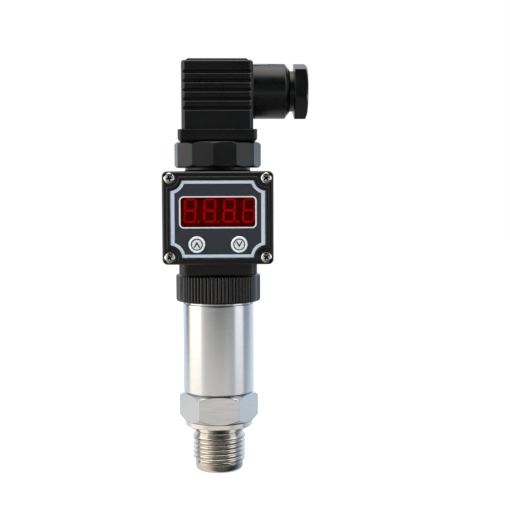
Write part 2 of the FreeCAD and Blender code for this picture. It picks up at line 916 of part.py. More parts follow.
def head_case(clip_low):
    # One moulding: open-fronted box, skirt and spigot below, threaded neck above.
    body = new_body("head_case")
    shell = sketch_on(body, "XZ_Plane", case_front)
    rounded_rectangle(shell, case_half_width, case_half_height, s.bezel_corner, 0, bezel_middle)
    pad(body, shell, case_front + s.case_rear, reverse=True)
    dress(body, "PartDesign::Chamfer", s.case_edge, lambda edge: lies_at(edge, Y=s.case_rear))

    skirt = sketch_on(body, "XY_Plane", skirt_bottom)
    rounded_rectangle(skirt, s.skirt_width / 2, s.skirt_width / 2, s.skirt_corner)
    pad(body, skirt, case_bottom + s.case_wall - skirt_bottom)
    dress(body, "PartDesign::Chamfer", s.skirt_edge, lambda edge: lies_at(edge, Z=skirt_bottom))

    spigot = neck_bore_radius - s.slip_gap
    spigot_bottom = neck_top - s.neck_thread_height
    seal_low = neck_top - s.seal_drop
    seal_high = seal_low + s.sensor_ring_section + 2 * s.slip_gap
    seal_floor = spigot - s.sensor_ring_section
    clip_floor = head_spigot_radius - s.clip_depth
    clip_high = clip_low + s.clip_height + s.slip_gap
    turn_on(body, outline(sketch_on(body, "XZ_Plane"), [
        (0, spigot_bottom),
        (spigot, spigot_bottom),
        (spigot, seal_low),
        (seal_floor, seal_low),
        (seal_floor, seal_high),
        (spigot, seal_high),
        (spigot, neck_top),
        (head_spigot_radius, neck_top),
        (head_spigot_radius, clip_low - s.slip_gap),
        (clip_floor, clip_low - s.slip_gap),
        (clip_floor, clip_high),
        (head_spigot_radius, clip_high),
        (head_spigot_radius, case_bottom),
        (0, case_bottom),
    ]))
    ring_radius = spigot - s.sensor_ring_section / 2
    seal_ring("neck_o_ring", ring_radius, s.sensor_ring_section, (seal_low + seal_high) / 2)

    top_neck = s.top_neck_diameter / 2
    turn_on(body, outline(sketch_on(body, "XZ_Plane"), [
        (0, case_top - s.case_wall / 2),
        (top_neck + s.flare_width, case_top - s.case_wall / 2),
        (top_neck + s.flare_width, case_top),
        (top_neck, case_top + s.flare_width),
        (top_neck, top_neck_end),
        (0, top_neck_end),
    ]))

    hollow = sketch_on(body, "XZ_Plane", case_front)
    half_wide = case_half_width - s.case_wall
    half_high = case_half_height - s.case_wall
    rounded_rectangle(hollow, half_wide, half_high, s.bezel_corner / 2, 0, bezel_middle)
    cut(body, hollow, case_front + s.case_rear - s.case_wall)

    lower_bore = spigot - s.head_spigot_wall
    upper_bore = s.top_neck_bore / 2
    seal_radius = s.sensor_ring_section / 2
    seal_middle = (upper_bore + top_neck) / 2
    groove(body, [
        (0, spigot_bottom),
        (lower_bore, spigot_bottom),
        (lower_bore, bezel_middle),
        (0, bezel_middle),
    ])
    groove(body, [
        (0, bezel_middle),
        (upper_bore, bezel_middle),
        (upper_bore, top_neck_end),
        (0, top_neck_end),
    ])
    groove(body, [
        (seal_middle - seal_radius - s.slip_gap, top_neck_end),
        (seal_middle + seal_radius + s.slip_gap, top_neck_end),
        (seal_middle + seal_radius + s.slip_gap, top_neck_end - 2 * seal_radius - s.slip_gap),
        (seal_middle - seal_radius - s.slip_gap, top_neck_end - 2 * seal_radius - s.slip_gap),
    ])
    seal_height = top_neck_end - seal_radius - s.slip_gap / 2
    seal_ring("upper_o_ring", seal_middle, s.sensor_ring_section, seal_height)

    # Four screw bosses in the corners, and four square posts behind the main board.
    root = -s.case_rear + s.case_wall / 2
    boss_radius = case_half_height - screw_z - s.slip_gap / 2
    bosses = sketch_on(body, "XZ_Plane", root)
    holes = sketch_on(body, "XZ_Plane", case_front)
    for x, z in screw_places():
        circle(bosses, x, z, boss_radius)
        circle(holes, x, z, s.screw_diameter / 2 + s.running_gap)
    pad(body, bosses, case_front - root)
    cut(body, holes, s.screw_length)
    posts = sketch_on(body, "XZ_Plane", root)
    for x, z in spacer_places():
        rectangle(posts, s.spacer_flats / 2, s.spacer_flats / 2, x, z)
    pad(body, posts, main_board_back - root)


def corner_places(half_wide, half_high):
    # Four places spread evenly about the middle of the bezel.
    return [
        (side * half_wide, bezel_middle + rise * half_high)
        for side in (-1, 1)
        for rise in (-1, 1)
    ]


def screw_places():
    return corner_places(screw_x, screw_z)


def spacer_places():
    return corner_places(s.spacer_spacing_wide / 2, s.spacer_spacing_high / 2)


def panel_outline(sketch, grow=0):
    # The panel's outline, clipped round the four screws, moved outwards by grow.
    return notched_rectangle(
        sketch,
        s.panel_width / 2 + grow,
        s.panel_height / 2 + grow,
        s.panel_notch - grow,
        screw_x,
        screw_z,
        bezel_middle - s.panel_drop,
        bezel_middle,
    )


def button_places():
    height = bezel_middle - s.button_drop
    return ((-s.button_spacing / 2, height), (s.button_spacing / 2, height))


def bezel_parts():
    # Front frame with a raised ridge round the panel, its gasket, the panel and the window filter.
    body = new_body("bezel")
    bezel_back = s.bezel_front - s.bezel_depth
    frame = sketch_on(body, "XZ_Plane", bezel_back)
    rounded_rectangle(frame, s.bezel_width / 2, s.bezel_height / 2, s.bezel_corner, 0, bezel_middle)
    pad(body, frame, s.bezel_depth)
    dress(body, "PartDesign::Chamfer", s.bezel_edge, lambda edge: lies_at(edge, Y=-s.bezel_front))
    ridge = sketch_on(body, "XZ_Plane", s.bezel_front)
    panel_outline(ridge, s.ridge_offset)
    panel_outline(ridge, s.ridge_offset + s.ridge_width)
    pad(body, ridge, s.ridge_height)
    recess = sketch_on(body, "XZ_Plane", s.bezel_front)
    panel_outline(recess, s.slip_gap)
    cut(body, recess, s.panel_thickness)

    hollow = sketch_on(body, "XZ_Plane", bezel_back)
    notched_rectangle(
        hollow,
        s.bezel_width / 2 - s.case_wall,
        s.bezel_height / 2 - s.case_wall,
        s.panel_notch,
        screw_x,
        screw_z,
        bezel_middle,
        bezel_middle,
    )
    cut(body, hollow, wall_back - bezel_back, forward=True)
    window = sketch_on(body, "XZ_Plane", panel_floor)
    rim = s.filter_rim + s.slip_gap
    window_middle = bezel_middle + s.window_rise
    window_half_wide = s.window_width / 2
    window_half_high = s.window_height / 2
    rounded_rectangle(
        window,
        window_half_wide + rim,
        window_half_high + rim,
        s.window_corner + rim,
        0,
        window_middle,
    )
    cut(body, window, s.bezel_wall)
    holes = sketch_on(body, "XZ_Plane", panel_floor)
    for x, z in button_places():
        circle(holes, x, z, s.button_diameter / 2 + s.free_gap)
    cut(body, holes, s.bezel_wall)
    seats = sketch_on(body, "XZ_Plane", s.bezel_front)
    for x, z in screw_places():
        circle(seats, x, z, s.screw_head_diameter / 2 + s.slip_gap)
    cut(body, seats, s.screw_head_height)
    shanks = sketch_on(body, "XZ_Plane", s.bezel_front - s.screw_head_height)
    for x, z in screw_places():
        circle(shanks, x, z, s.screw_diameter / 2 + s.slip_gap)
    cut(body, shanks, s.bezel_depth - s.screw_head_height)

    gasket = new_body("bezel_gasket")
    seal = sketch_on(gasket, "XZ_Plane", case_front)
    rounded_rectangle(
        seal,
        case_half_width - s.slip_gap,
        case_half_height - s.slip_gap,
        s.bezel_corner,
        0,
        bezel_middle,
    )
    notched_rectangle(
        seal,
        case_half_width - s.case_wall,
        case_half_height - s.case_wall,
        s.panel_notch - s.case_wall,
        screw_x,
        screw_z,
        bezel_middle,
        bezel_middle,
    )
    for x, z in screw_places():
        circle(seal, x, z, s.screw_diameter / 2 + s.slip_gap)
    pad(gasket, seal, s.gasket_thickness)

    panel = new_body("face_panel")
    sheet_cut = panel_outline(sketch_on(panel, "XZ_Plane", panel_floor))
    rounded_rectangle(sheet_cut, window_half_wide, window_half_high, s.window_corner, 0, window_middle)
    for x, z in button_places():
        circle(sheet_cut, x, z, s.button_diameter / 2 + s.slip_gap)
    pad(panel, sheet_cut, s.panel_thickness)

    red_filter = new_body("window_filter")
    plate = sketch_on(red_filter, "XZ_Plane", panel_floor - s.filter_thickness)
    rounded_rectangle(
        plate,
        window_half_wide + s.filter_rim,
        window_half_high + s.filter_rim,
        s.window_corner + s.filter_rim,
        0,
        window_middle,
    )
    pad(red_filter, plate, s.filter_thickness)
    land = sketch_on(red_filter, "XZ_Plane", panel_floor)
    rounded_rectangle(
        land,
        window_half_wide - s.slip_gap,
        window_half_high - s.slip_gap,
        s.window_corner - s.slip_gap,
        0,
        window_middle,
    )
    pad(red_filter, land, s.panel_thickness - s.slip_gap)


def bezel_screws():
    # Cross-recess screws; their fine threads are left plain.
    screw = new_body("bezel_screw")
    head = s.screw_head_diameter / 2
    turn_on(screw, outline(sketch_on(screw, "XY_Plane"), [
        (0, 0),
        (head, 0),
        (head, s.screw_head_height),
        (s.screw_diameter / 2, s.screw_head_height),
        (s.screw_diameter / 2, s.screw_length),
        (0, s.screw_length),
    ]))
    arm = s.cross_width / 2
    reach = s.cross_span / 2
    cross = sketch_on(screw, "XZ_Plane")
    outline(cross, [
        (arm, arm),
        (arm, reach),
        (-arm, reach),
        (-arm, arm),
        (-reach, arm),
        (-reach, -arm),
        (-arm, -arm),
        (-arm, -reach),
        (arm, -reach),
        (arm, -arm),
        (reach, -arm),
        (reach, arm),
    ])
    cut(screw, cross, s.cross_depth)
    top = -s.bezel_front
    copies("bezel_screws", prototype_of(screw), [at(x, top, z) for x, z in screw_places()])


def display_parts():
    # Four-digit display and the boards behind it, joined by a header and spacers.
    window_middle = bezel_middle + s.window_rise
    display = new_body("led_display")
    face = sketch_on(display, "XZ_Plane", board_front)
    rectangle(face, s.display_width / 2, s.display_height / 2, 0, window_middle)
    pad(display, face, s.display_depth)

    for label, front in (("display_board", board_back), ("main_board", main_board_back)):
        board = new_body(label)
        shape = sketch_on(board, "XZ_Plane", front)
        notched_rectangle(
            shape,
            s.board_width / 2,
            s.board_height / 2,
            case_half_height - screw_z + s.free_gap,
            screw_x,
            screw_z,
            bezel_middle,
            bezel_middle,
        )
        pad(board, shape, s.board_thickness)

    spacer = new_body("spacer")
    corner = s.spacer_flats / 2 / math.cos(math.pi / 6)
    pad(spacer, polygon(sketch_on(spacer, "XZ_Plane"), 6, corner), s.board_spacing)
    spacer_spots = [at(x, -main_board_front, z) for x, z in spacer_places()]
    copies("board_spacers", prototype_of(spacer), spacer_spots)
    header = new_body("board_header")
    strip = sketch_on(header, "XZ_Plane", main_board_front)
    rectangle(strip, s.header_length / 2, s.header_width / 2, 0, bezel_middle - s.spacer_spacing_high / 2)
    pad(header, strip, s.board_spacing)

    chip = new_body("main_chip")
    half = s.chip_spacing / 2
    pad(chip, rectangle(sketch_on(chip, "XZ_Plane"), half, half), s.board_thickness)
    copies("main_board_chips", prototype_of(chip), [
        at(side * (half + s.chip_size / 4), -main_board_front, bezel_middle + s.header_width)
        for side in (-1, 1)
    ])


def buttons():
    # Each button is a flanged cap behind the panel, pressing the plunger of its own switch.
    cap_radius = s.button_diameter / 2
    flange_radius = cap_radius + s.free_gap + s.button_flange
    flange_face = wall_back - s.slip_gap
    flange_back = flange_face - s.button_flange_thickness
    cap_face = s.bezel_front + s.button_rise
    switch_face = board_front + s.switch_height
    plunger_face = switch_face + s.plunger_rise
    bevel = s.button_bevel
    dish = s.button_dish_diameter / 2
    for label, (x, z) in zip(("up", "down"), button_places()):
        cap = new_body(f"button_{label}")
        turn_on(cap, outline(sketch_on(cap, "XY_Plane"), [
            (0, bevel - cap_face),
            (dish - bevel, bevel - cap_face),
            (dish, -cap_face),
            (cap_radius - bevel, -cap_face),
            (cap_radius, bevel - cap_face),
            (cap_radius, -flange_face),
            (flange_radius, -flange_face),
            (flange_radius, -flange_back),
            (s.button_stem_diameter / 2, -flange_back),
            (s.button_stem_diameter / 2, -plunger_face),
            (0, -plunger_face),
        ]))
        place(cap, x, 0, z)
        plunger = new_body(f"plunger_{label}")
        stud = sketch_on(plunger, "XZ_Plane", switch_face - s.plunger_depth)
        circle(stud, 0, 0, s.plunger_diameter / 2)
        pad(plunger, stud, s.plunger_depth + s.plunger_rise)
        place(plunger, x, 0, z)
    switch = new_body("tact_switch")
    square = rectangle(sketch_on(switch, "XZ_Plane"), s.switch_size / 2, s.switch_size / 2)
    pad(switch, square, s.switch_height)
    well = sketch_on(switch, "XZ_Plane", s.switch_height)
    circle(well, 0, 0, s.plunger_diameter / 2 + s.slip_gap)
    cut(switch, well, s.plunger_depth + 2 * s.button_travel)
    switch_spots = [at(x, -board_front, z) for x, z in button_places()]
    copies("tact_switches", prototype_of(switch), switch_spots)


def head_nut():
    # Twelve-sided nut on the head's neck; its top lip holds the upper socket down.
    body = new_body("head_nut")
    corner = s.nut_corners / 2
    faces = polygon(sketch_on(body, "XY_Plane", nut_bottom), 12, corner, driving_sizes["nut_turn"] - 90)
    pad(body, faces, s.nut_height)
    bore = s.top_neck_diameter / 2 + s.running_gap
    lip = s.socket_spigot_diameter / 2 + s.running_gap
    lip_bottom = nut_top - s.nut_lip_height
    groove(body, [
        (0, nut_bottom),
        (bore, nut_bottom),
        (bore, lip_bottom),
        (lip, lip_bottom),
        (lip, nut_top),
        (0, nut_top),
    ])
    inner = corner * math.cos(math.pi / 12) - s.nut_bevel / 2
    for face, direction in ((nut_bottom, 1), (nut_top, -1)):
        groove(body, [
            (inner, face),
            (corner + s.nut_bevel, face),
            (corner + s.nut_bevel, face + direction * (corner + s.nut_bevel - inner)),
        ])


def upper_socket():
    # Four-blade socket with a square flange, held by its foot under the nut's lip.
    foot_top = top_neck_end + s.socket_foot_height
    foot_radius = s.top_neck_diameter / 2 - s.free_gap
    spigot = s.socket_spigot_diameter / 2
    body = turned("upper_socket", [
        (0, top_neck_end),
        (foot_radius, top_neck_end),
        (foot_radius, foot_top),
        (spigot, foot_top),
        (spigot, flange_bottom + s.flange_height / 2),
        (0, flange_bottom + s.flange_height / 2),
    ])
    half = plug_half + s.flange_overhang
    taper_end = flange_bottom + s.flange_taper_height
    upper = rounded_rectangle(sketch_on(body, "XY_Plane", taper_end), half, half, s.flange_corner)
    pad(body, upper, flange_top - taper_end)
    wide = rounded_rectangle(sketch_on(body, "XY_Plane", taper_end), half, half, s.flange_corner)
    small = half - s.flange_taper
    narrow = rounded_rectangle(sketch_on(body, "XY_Plane", flange_bottom), small, small, s.flange_corner)
    loft = body.newObject("PartDesign::AdditiveLoft", "AdditiveLoft")
    loft.Profile = wide
    loft.Sections = [narrow]
    island_half = socket_island_half
    island = sketch_on(body, "XY_Plane", flange_top)
    rounded_rectangle(island, island_half, island_half, s.plug_corner)
    pad(body, island, s.socket_island_height)
    slot_wide = s.blade_width / 2 + s.running_gap
    slot_thick = s.blade_thickness / 2 + s.running_gap
    height = flange_top + s.socket_island_height - top_neck_end
    blade_slots(body, s.blade_offset, top_neck_end, height, slot_wide, slot_thick, True)
    screw = sketch_on(body, "XY_Plane", flange_top + s.socket_island_height)
    circle(screw, 0, 0, s.centre_screw_diameter / 2 + s.running_gap)
    cut(body, screw, s.flange_height + s.socket_island_height)
    reach = s.blade_reach + flange_top - top_neck_end
    copies("upper_blades", blade(s.blade_width / 2, reach), around(s.blade_offset, top_neck_end))


def plug_housing():
    # Square moulding with five V-grooves in front and behind, a plateau on top and a round outlet.
    body = new_body("plug_housing")
    half = plug_half
    pad(body, rectangle(sketch_on(body, "XY_Plane", flange_top), half, half), s.plug_height)
    dress(body, "PartDesign::Chamfer", s.plug_corner, lambda edge: (
        edge.BoundBox.XLength < 1e-6 and edge.BoundBox.YLength < 1e-6
    ))
    dress(body, "PartDesign::Chamfer", s.plateau_height, lambda edge: lies_at(edge, Z=plug_top))
    plateau = sketch_on(body, "XY_Plane", plug_top)
    rectangle(plateau, s.plateau_width / 2, half - s.plateau_height)
    pad(body, plateau, s.plateau_height)
    plateau_top = plug_top + s.plateau_height
    dress(body, "PartDesign::Chamfer", s.plateau_edge, lambda edge: lies_at(edge, Z=plateau_top))
    tube = circle(sketch_on(body, "YZ_Plane", half - s.plug_wall), 0, outlet_height, s.outlet_diameter / 2)
    pad(body, tube, s.outlet_length + s.plug_wall)
    dress(body, "PartDesign::Chamfer", s.outlet_edge, lambda edge: lies_at(edge, X=outlet_reach))
    lip_end = outlet_reach + s.outlet_lip_length
    lip = circle(sketch_on(body, "YZ_Plane", outlet_reach), 0, outlet_height, s.outlet_lip_diameter / 2)
    pad(body, lip, s.outlet_lip_length)
    dress(body, "PartDesign::Chamfer", s.outlet_lip_bevel, lambda edge: lies_at(edge, X=lip_end))

    cavity = sketch_on(body, "XY_Plane", flange_top)
    inside = half - s.plug_wall
    rectangle(cavity, inside, inside)
    cut(body, cavity, s.plug_height - s.plug_wall, forward=True)
    rim = sketch_on(body, "XY_Plane", flange_top)
    rectangle(rim, plug_gasket_half + s.slip_gap, plug_gasket_half + s.slip_gap)
    cut(body, rim, s.plug_gasket_thickness + s.slip_gap, forward=True)
    throat = circle(sketch_on(body, "YZ_Plane", outlet_reach), 0, outlet_height, s.throat_diameter / 2)
    cut(body, throat, outlet_reach - inside)
    thread = s.gland_thread_diameter / 2 + s.running_gap
    bore = circle(sketch_on(body, "YZ_Plane", lip_end), 0, outlet_height, thread)
    cut(body, bore, s.outlet_lip_length + s.outlet_length + s.outlet_shoulder)

    top = sketch_on(body, "XY_Plane", plateau_top)
    circle(top, 0, 0, s.centre_head_diameter / 2 + s.free_gap)
    cut(body, top, s.centre_head_height + s.screw_seal_thickness)
    shaft = sketch_on(body, "XY_Plane", plateau_top)
    circle(shaft, 0, 0, s.centre_screw_diameter / 2 + s.free_gap)
    cut(body, shaft, s.plug_wall + s.plateau_height)

    first_groove = plug_top - s.first_groove_drop
    for side in (-1, 1):
        profile = sketch_on(body, "YZ_Plane", -s.plug_width)
        outline(profile, [
            (side * (half + s.groove_depth), first_groove + s.groove_width),
            (side * (half - s.groove_depth), first_groove),
            (side * (half + s.groove_depth), first_groove - s.groove_width),
        ])
        notch = cut(body, profile, s.plug_width * 2, forward=True)
        rows = body.newObject("PartDesign::LinearPattern", "LinearPattern")
        rows.Originals = [notch]
        rows.Direction = (profile, ["V_Axis"])
        rows.Reversed = True
        bind(rows, "Length", s.groove_pitch * (s.groove_count - 1))
        bind(rows, "Occurrences", s.groove_count)
        body.Tip = rows
        document.recompute()
    return plateau_top


def plug_inside(plateau_top):
    gasket = new_body("plug_gasket")
    frame = sketch_on(gasket, "XY_Plane", flange_top)
    inner = socket_island_half + s.slip_gap
    rectangle(frame, plug_gasket_half, plug_gasket_half)
    rounded_rectangle(frame, inner, inner, s.plug_corner)
    pad(gasket, frame, s.plug_gasket_thickness)

    block = new_body("contact_block")
    half = plug_half - s.plug_wall - s.slip_gap
    bottom = flange_top + s.socket_island_height + s.free_gap
    base = rounded_rectangle(sketch_on(block, "XY_Plane", bottom), half, half, s.plug_corner)
    pad(block, base, s.block_height)
    well_wide = s.blade_width / 2 + s.sleeve_wall + 2 * s.slip_gap
    well_thick = s.terminal_head_diameter / 2 + s.slip_gap
    blade_slots(block, s.blade_offset, bottom, s.block_height, well_wide, well_thick, True)
    screw_way = sketch_on(block, "XY_Plane", bottom)
    circle(screw_way, 0, 0, s.centre_screw_diameter / 2 + s.free_gap)
    cut(block, screw_way, s.block_height, forward=True)
    sleeves = contact_sleeve(s.blade_width / 2, with_screw=True)
    copies("plug_sleeves", sleeves, around(s.blade_offset, bottom))

    centre = new_body("centre_screw")
    head = s.centre_head_diameter / 2
    shank = s.centre_screw_diameter / 2
    head_low = plateau_top - s.centre_head_height
    turn_on(centre, outline(sketch_on(centre, "XZ_Plane"), [
        (0, flange_bottom + s.flange_height / 4),
        (shank, flange_bottom + s.flange_height / 4),
        (shank, head_low),
        (head, head_low),
        (head, plateau_top - s.free_gap),
        (0, plateau_top - s.free_gap),
    ]))
    slot = sketch_on(centre, "XY_Plane", plateau_top)
    rectangle(slot, s.centre_head_diameter, s.blade_thickness / 2)
    cut(centre, slot, s.centre_head_height / 2)
    turned("screw_seal", [
        (shank + s.slip_gap, head_low - s.screw_seal_thickness),
        (head, head_low - s.screw_seal_thickness),
        (head, head_low),
        (shank + s.slip_gap, head_low),
    ])


def gland():
    # Grommet and washer at the outlet's shoulder, squeezed by the gland nut's round shank.
    shoulder = plug_half - s.outlet_shoulder
    rubber_radius = s.gland_thread_diameter / 2 - s.slip_gap
    cable_radius = s.cable_bore / 2
    grommet_end = shoulder + s.grommet_length
    grommet = turned("cable_grommet", [
        (shoulder, cable_radius),
        (grommet_end, cable_radius),
        (grommet_end, rubber_radius),
        (shoulder, rubber_radius),
    ], axis="H_Axis")
    place(grommet, 0, 0, outlet_height)
    washer_end = grommet_end + s.washer_thickness
    washer = turned("pressure_washer", [
        (grommet_end, cable_radius + s.free_gap),
        (washer_end, cable_radius + s.free_gap),
        (washer_end, rubber_radius),
        (grommet_end, rubber_radius),
    ], axis="H_Axis")
    place(washer, 0, 0, outlet_height)

    nut = new_body("gland_nut")
    head_face = outlet_reach + s.gland_step
    head_end = head_face + s.gland_head_thickness
    shank_radius = s.gland_thread_diameter / 2
    turn_on(nut, outline(sketch_on(nut, "XZ_Plane"), [
        (washer_end + s.slip_gap, 0),
        (head_face + s.gland_step / 2, 0),
        (head_face + s.gland_step / 2, shank_radius),
        (washer_end + s.slip_gap, shank_radius),
    ]), axis="H_Axis")
    corner = s.gland_flats / 2 / math.cos(math.pi / 6)
    hexagon = polygon(sketch_on(nut, "YZ_Plane", head_face), 6, corner, driving_sizes["gland_turn"])
    pad(nut, hexagon, s.gland_head_thickness)
    # The outer face is round, and a cone falls from it to the corners.
    end_radius = s.gland_flats / 2 - s.gland_bevel / 2
    turn_on(nut, outline(sketch_on(nut, "XZ_Plane"), [
        (head_end, end_radius),
        (head_end, 2 * corner - end_radius),
        (head_end - 2 * s.gland_bevel, 2 * corner - end_radius),
    ]), "H_Axis", "PartDesign::Groove")
    turn_on(nut, outline(sketch_on(nut, "XZ_Plane"), [
        (washer_end, 0),
        (washer_end, s.gland_bore / 2),
        (head_end - s.gland_flare, s.gland_bore / 2),
        (head_end, s.gland_bore / 2 + s.gland_flare),
        (head_end, 0),
    ]), "H_Axis", "PartDesign::Groove")
    place(nut, 0, 0, outlet_height)


def build():
    process_connection()
    cell_top = sensor()
    lip_top = tube_and_neck()
    lower_connector(lip_top)
    amplifier(cell_top, lip_top)
    clip_low = union_ring()
    head_case(clip_low)
    bezel_parts()
    bezel_screws()
    display_parts()
    buttons()
    head_nut()
    upper_socket()
    plateau_top = plug_housing()
    plug_inside(plateau_top)
    gland()


def write_parts():
    document.recompute()
    for thing in document.Objects:
        if any(state in ("Invalid", "Error") for state in thing.State):
            raise RuntimeError(f"{thing.Label} failed: {thing.State}")
    os.makedirs("parts", exist_ok=True)
    for part in sub_parts:
        shape = part.Shape
        if shape.isNull() or not shape.isValid() or not shape.Solids:
            raise RuntimeError(f"{part.Label} has no valid shape")
        shape.exportStep(f"parts/{part.Label}.step")
        print(f"{part.Label}: {len(shape.Solids)} solid(s), {shape.Volume:.1f} mm3")
    print(len(sub_parts), "parts")


build()
write_parts()
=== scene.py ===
import json
import math
import bpy
from mathutils import Matrix, Vector


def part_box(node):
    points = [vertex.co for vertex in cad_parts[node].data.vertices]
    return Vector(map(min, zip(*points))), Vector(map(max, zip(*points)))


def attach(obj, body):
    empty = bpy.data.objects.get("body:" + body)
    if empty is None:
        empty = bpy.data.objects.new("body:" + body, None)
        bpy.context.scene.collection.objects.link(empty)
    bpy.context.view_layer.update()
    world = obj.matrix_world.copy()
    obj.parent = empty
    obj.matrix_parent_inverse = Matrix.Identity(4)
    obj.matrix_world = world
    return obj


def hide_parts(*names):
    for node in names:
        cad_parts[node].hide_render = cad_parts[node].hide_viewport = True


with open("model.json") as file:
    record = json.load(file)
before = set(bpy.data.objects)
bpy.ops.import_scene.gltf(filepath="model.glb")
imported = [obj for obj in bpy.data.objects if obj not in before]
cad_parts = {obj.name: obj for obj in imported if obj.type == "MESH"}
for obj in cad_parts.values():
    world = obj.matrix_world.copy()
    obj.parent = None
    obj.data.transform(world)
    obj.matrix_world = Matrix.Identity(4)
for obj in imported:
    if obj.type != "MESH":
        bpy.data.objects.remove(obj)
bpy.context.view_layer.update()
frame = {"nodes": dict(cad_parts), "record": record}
print("frame loaded")

mm = 0.001
weld = 0.002 * mm       # points of a mesh that are closer than this become one
screwHead = 2.075       # radius of the bezel screws' heads in mm; the panel's print goes round them


def toLinear(hexColour):
    # sRGB hex to the linear colour that shaders work in
    channels = [int(hexColour[i:i + 2], 16) / 255 for i in (1, 3, 5)]
    linear = [c / 12.92 if c <= 0.04045 else ((c + 0.055) / 1.055) ** 2.4 for c in channels]
    return (*linear, 1.0)


def grey(value):
    return (value, value, value, 1.0)


def toneStops(tones, low=0.3, high=0.7):
    # a ramp's two hex tones, set where a noise mostly lies
    return [(low, toLinear(tones[0])), (high, toLinear(tones[1]))]


def linkTo(tree, node, links):
    # a link comes from a socket, or from a node's first output
    for key, source in links.items():
        socket = source if isinstance(source, bpy.types.NodeSocket) else source.outputs[0]
        tree.links.new(socket, node.inputs[key])


def addNode(tree, kind, settings=None, links=None):
    # settings fill a ramp's stops, a socket by name or number, or a property
    node = tree.nodes.new("ShaderNode" + kind)
    for key, value in (settings or {}).items():
        if key == "stops":
            elements = node.color_ramp.elements
            while len(elements) < len(value):
                elements.new(0.5)
            for element, (position, colour) in zip(elements, value):
                element.position = position
                element.color = colour
        elif isinstance(key, int) or key in node.inputs:
            node.inputs[key].default_value = value
        else:
            setattr(node, key, value)
    linkTo(tree, node, links or {})
    return node


def startTree(owner):
    owner.use_nodes = True
    owner.node_tree.nodes.clear()
    return owner.node_tree


def startMaterial(name, settings):
    material = bpy.data.materials.new(name)
    tree = startTree(material)
    shader = addNode(tree, "BsdfPrincipled", settings)
    addNode(tree, "OutputMaterial", {}, {"Surface": shader})
    coords = addNode(tree, "TexCoord").outputs["Object"]
    return material, tree, shader, coords


def deselectAll():
    if bpy.context.object and bpy.context.object.mode == "EDIT":
        bpy.ops.object.mode_set(mode="OBJECT")
    bpy.ops.object.select_all(action="DESELECT")


def selectOnly(piece):
    deselectAll()
    piece.select_set(True)
    bpy.context.view_layer.objects.active = piece


def editAll(piece):
    # leaves edit mode on, with the whole mesh selected
    selectOnly(piece)
    bpy.ops.object.mode_set(mode="EDIT")
    bpy.ops.mesh.select_all(action="SELECT")


def selectFaces(piece, test):
    # leaves edit mode on, with only the faces that pass the test selected
    selectOnly(piece)
    bpy.ops.object.mode_set(mode="EDIT")
    bpy.ops.mesh.select_mode(type="FACE")
    bpy.ops.mesh.select_all(action="DESELECT")
    bpy.ops.object.mode_set(mode="OBJECT")
    for face in piece.data.polygons:
        face.select = test(face)
    bpy.ops.object.mode_set(mode="EDIT")


def paintFaces(piece, material, test):
    # gives the faces that pass the test a material of their own
    piece.data.materials.append(material)
    selectFaces(piece, test)
    piece.active_material_index = len(piece.data.materials) - 1
    bpy.ops.object.material_slot_assign()
    bpy.ops.object.mode_set(mode="OBJECT")


def addModifier(piece, kind, **settings):
    modifier = piece.modifiers.new(kind.title(), kind)
    for key, value in settings.items():
        setattr(modifier, key, value)
    selectOnly(piece)
    bpy.ops.object.modifier_apply(modifier=modifier.name)


def carve(piece, tool, operation="DIFFERENCE"):
    addModifier(piece, "BOOLEAN", operation=operation, object=tool, solver="EXACT")
    bpy.data.objects.remove(tool)


def tidyMesh(piece, sharpAngle=30):
    # closes seams, turns faces outwards and shades smooth up to the angle, with flats kept flat
    editAll(piece)
    bpy.ops.mesh.remove_doubles(threshold=weld)
    bpy.ops.mesh.normals_make_consistent(inside=False)
    bpy.ops.object.mode_set(mode="OBJECT")
    bpy.ops.object.shade_smooth_by_angle(angle=math.radians(sharpAngle))
    addModifier(piece, "WEIGHTED_NORMAL", keep_sharp=True)


def roundEdges(piece, radius, segments, angle):
    # rounds the edges sharper than the angle, by a radius in mm
    addModifier(
        piece, "BEVEL", width=radius * mm, segments=segments, limit_method="ANGLE",
        angle_limit=math.radians(angle), use_clamp_overlap=False, miter_outer="MITER_ARC",
    )


def setPlace(piece, place, turn=(0, 0, 0)):
    # turns the piece about its own middle, sets it down in millimetres, and keeps both in its mesh
    piece.rotation_euler = [math.radians(angle) for angle in turn]
    piece.location = Vector(place) * mm
    selectOnly(piece)
    bpy.ops.object.transform_apply(location=True, rotation=True, scale=True)


def copyPiece(source):
    piece = source.copy()
    piece.data = source.data.copy()
    bpy.context.collection.objects.link(piece)
    return piece


def joinPieces(pieces):
    selectOnly(pieces[0])
    for piece in pieces[1:]:
        piece.select_set(True)
    if len(pieces) > 1:
        bpy.ops.object.join()
    return pieces[0]


def finishPiece(piece, name, bodyName, material, replaced=()):
    # the place goes into the mesh, and the piece rides on its body; a piece that is already painted
    # in more than one material is given None
    selectOnly(piece)
    bpy.ops.object.transform_apply(location=True, rotation=True, scale=True)
    piece.name = name
    piece.data.name = name
    if material:
        piece.data.materials.clear()
        piece.data.materials.append(material)
    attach(piece, bodyName)
    if replaced:
        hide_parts(*replaced)
    return piece


def drawLine(points, closed=False):
    # a line through (x, z) points in the XZ plane, extruded from a plane merged to its middle
    deselectAll()
    bpy.ops.mesh.primitive_plane_add(size=mm, location=(0, 0, 0))
    piece = bpy.context.object
    bpy.ops.object.mode_set(mode="EDIT")
    bpy.ops.mesh.select_mode(type="VERT")
    bpy.ops.mesh.select_all(action="SELECT")
    bpy.ops.mesh.merge(type="CENTER")
    x, z = points[0]
    bpy.ops.transform.translate(value=(x * mm, 0, z * mm))
    for nextX, nextZ in points[1:] + points[:1] if closed else points[1:]:
        step = ((nextX - x) * mm, 0, (nextZ - z) * mm)
        bpy.ops.mesh.extrude_region_move(TRANSFORM_OT_translate={"value": step})
        x, z = nextX, nextZ
    bpy.ops.object.mode_set(mode="OBJECT")
    return piece


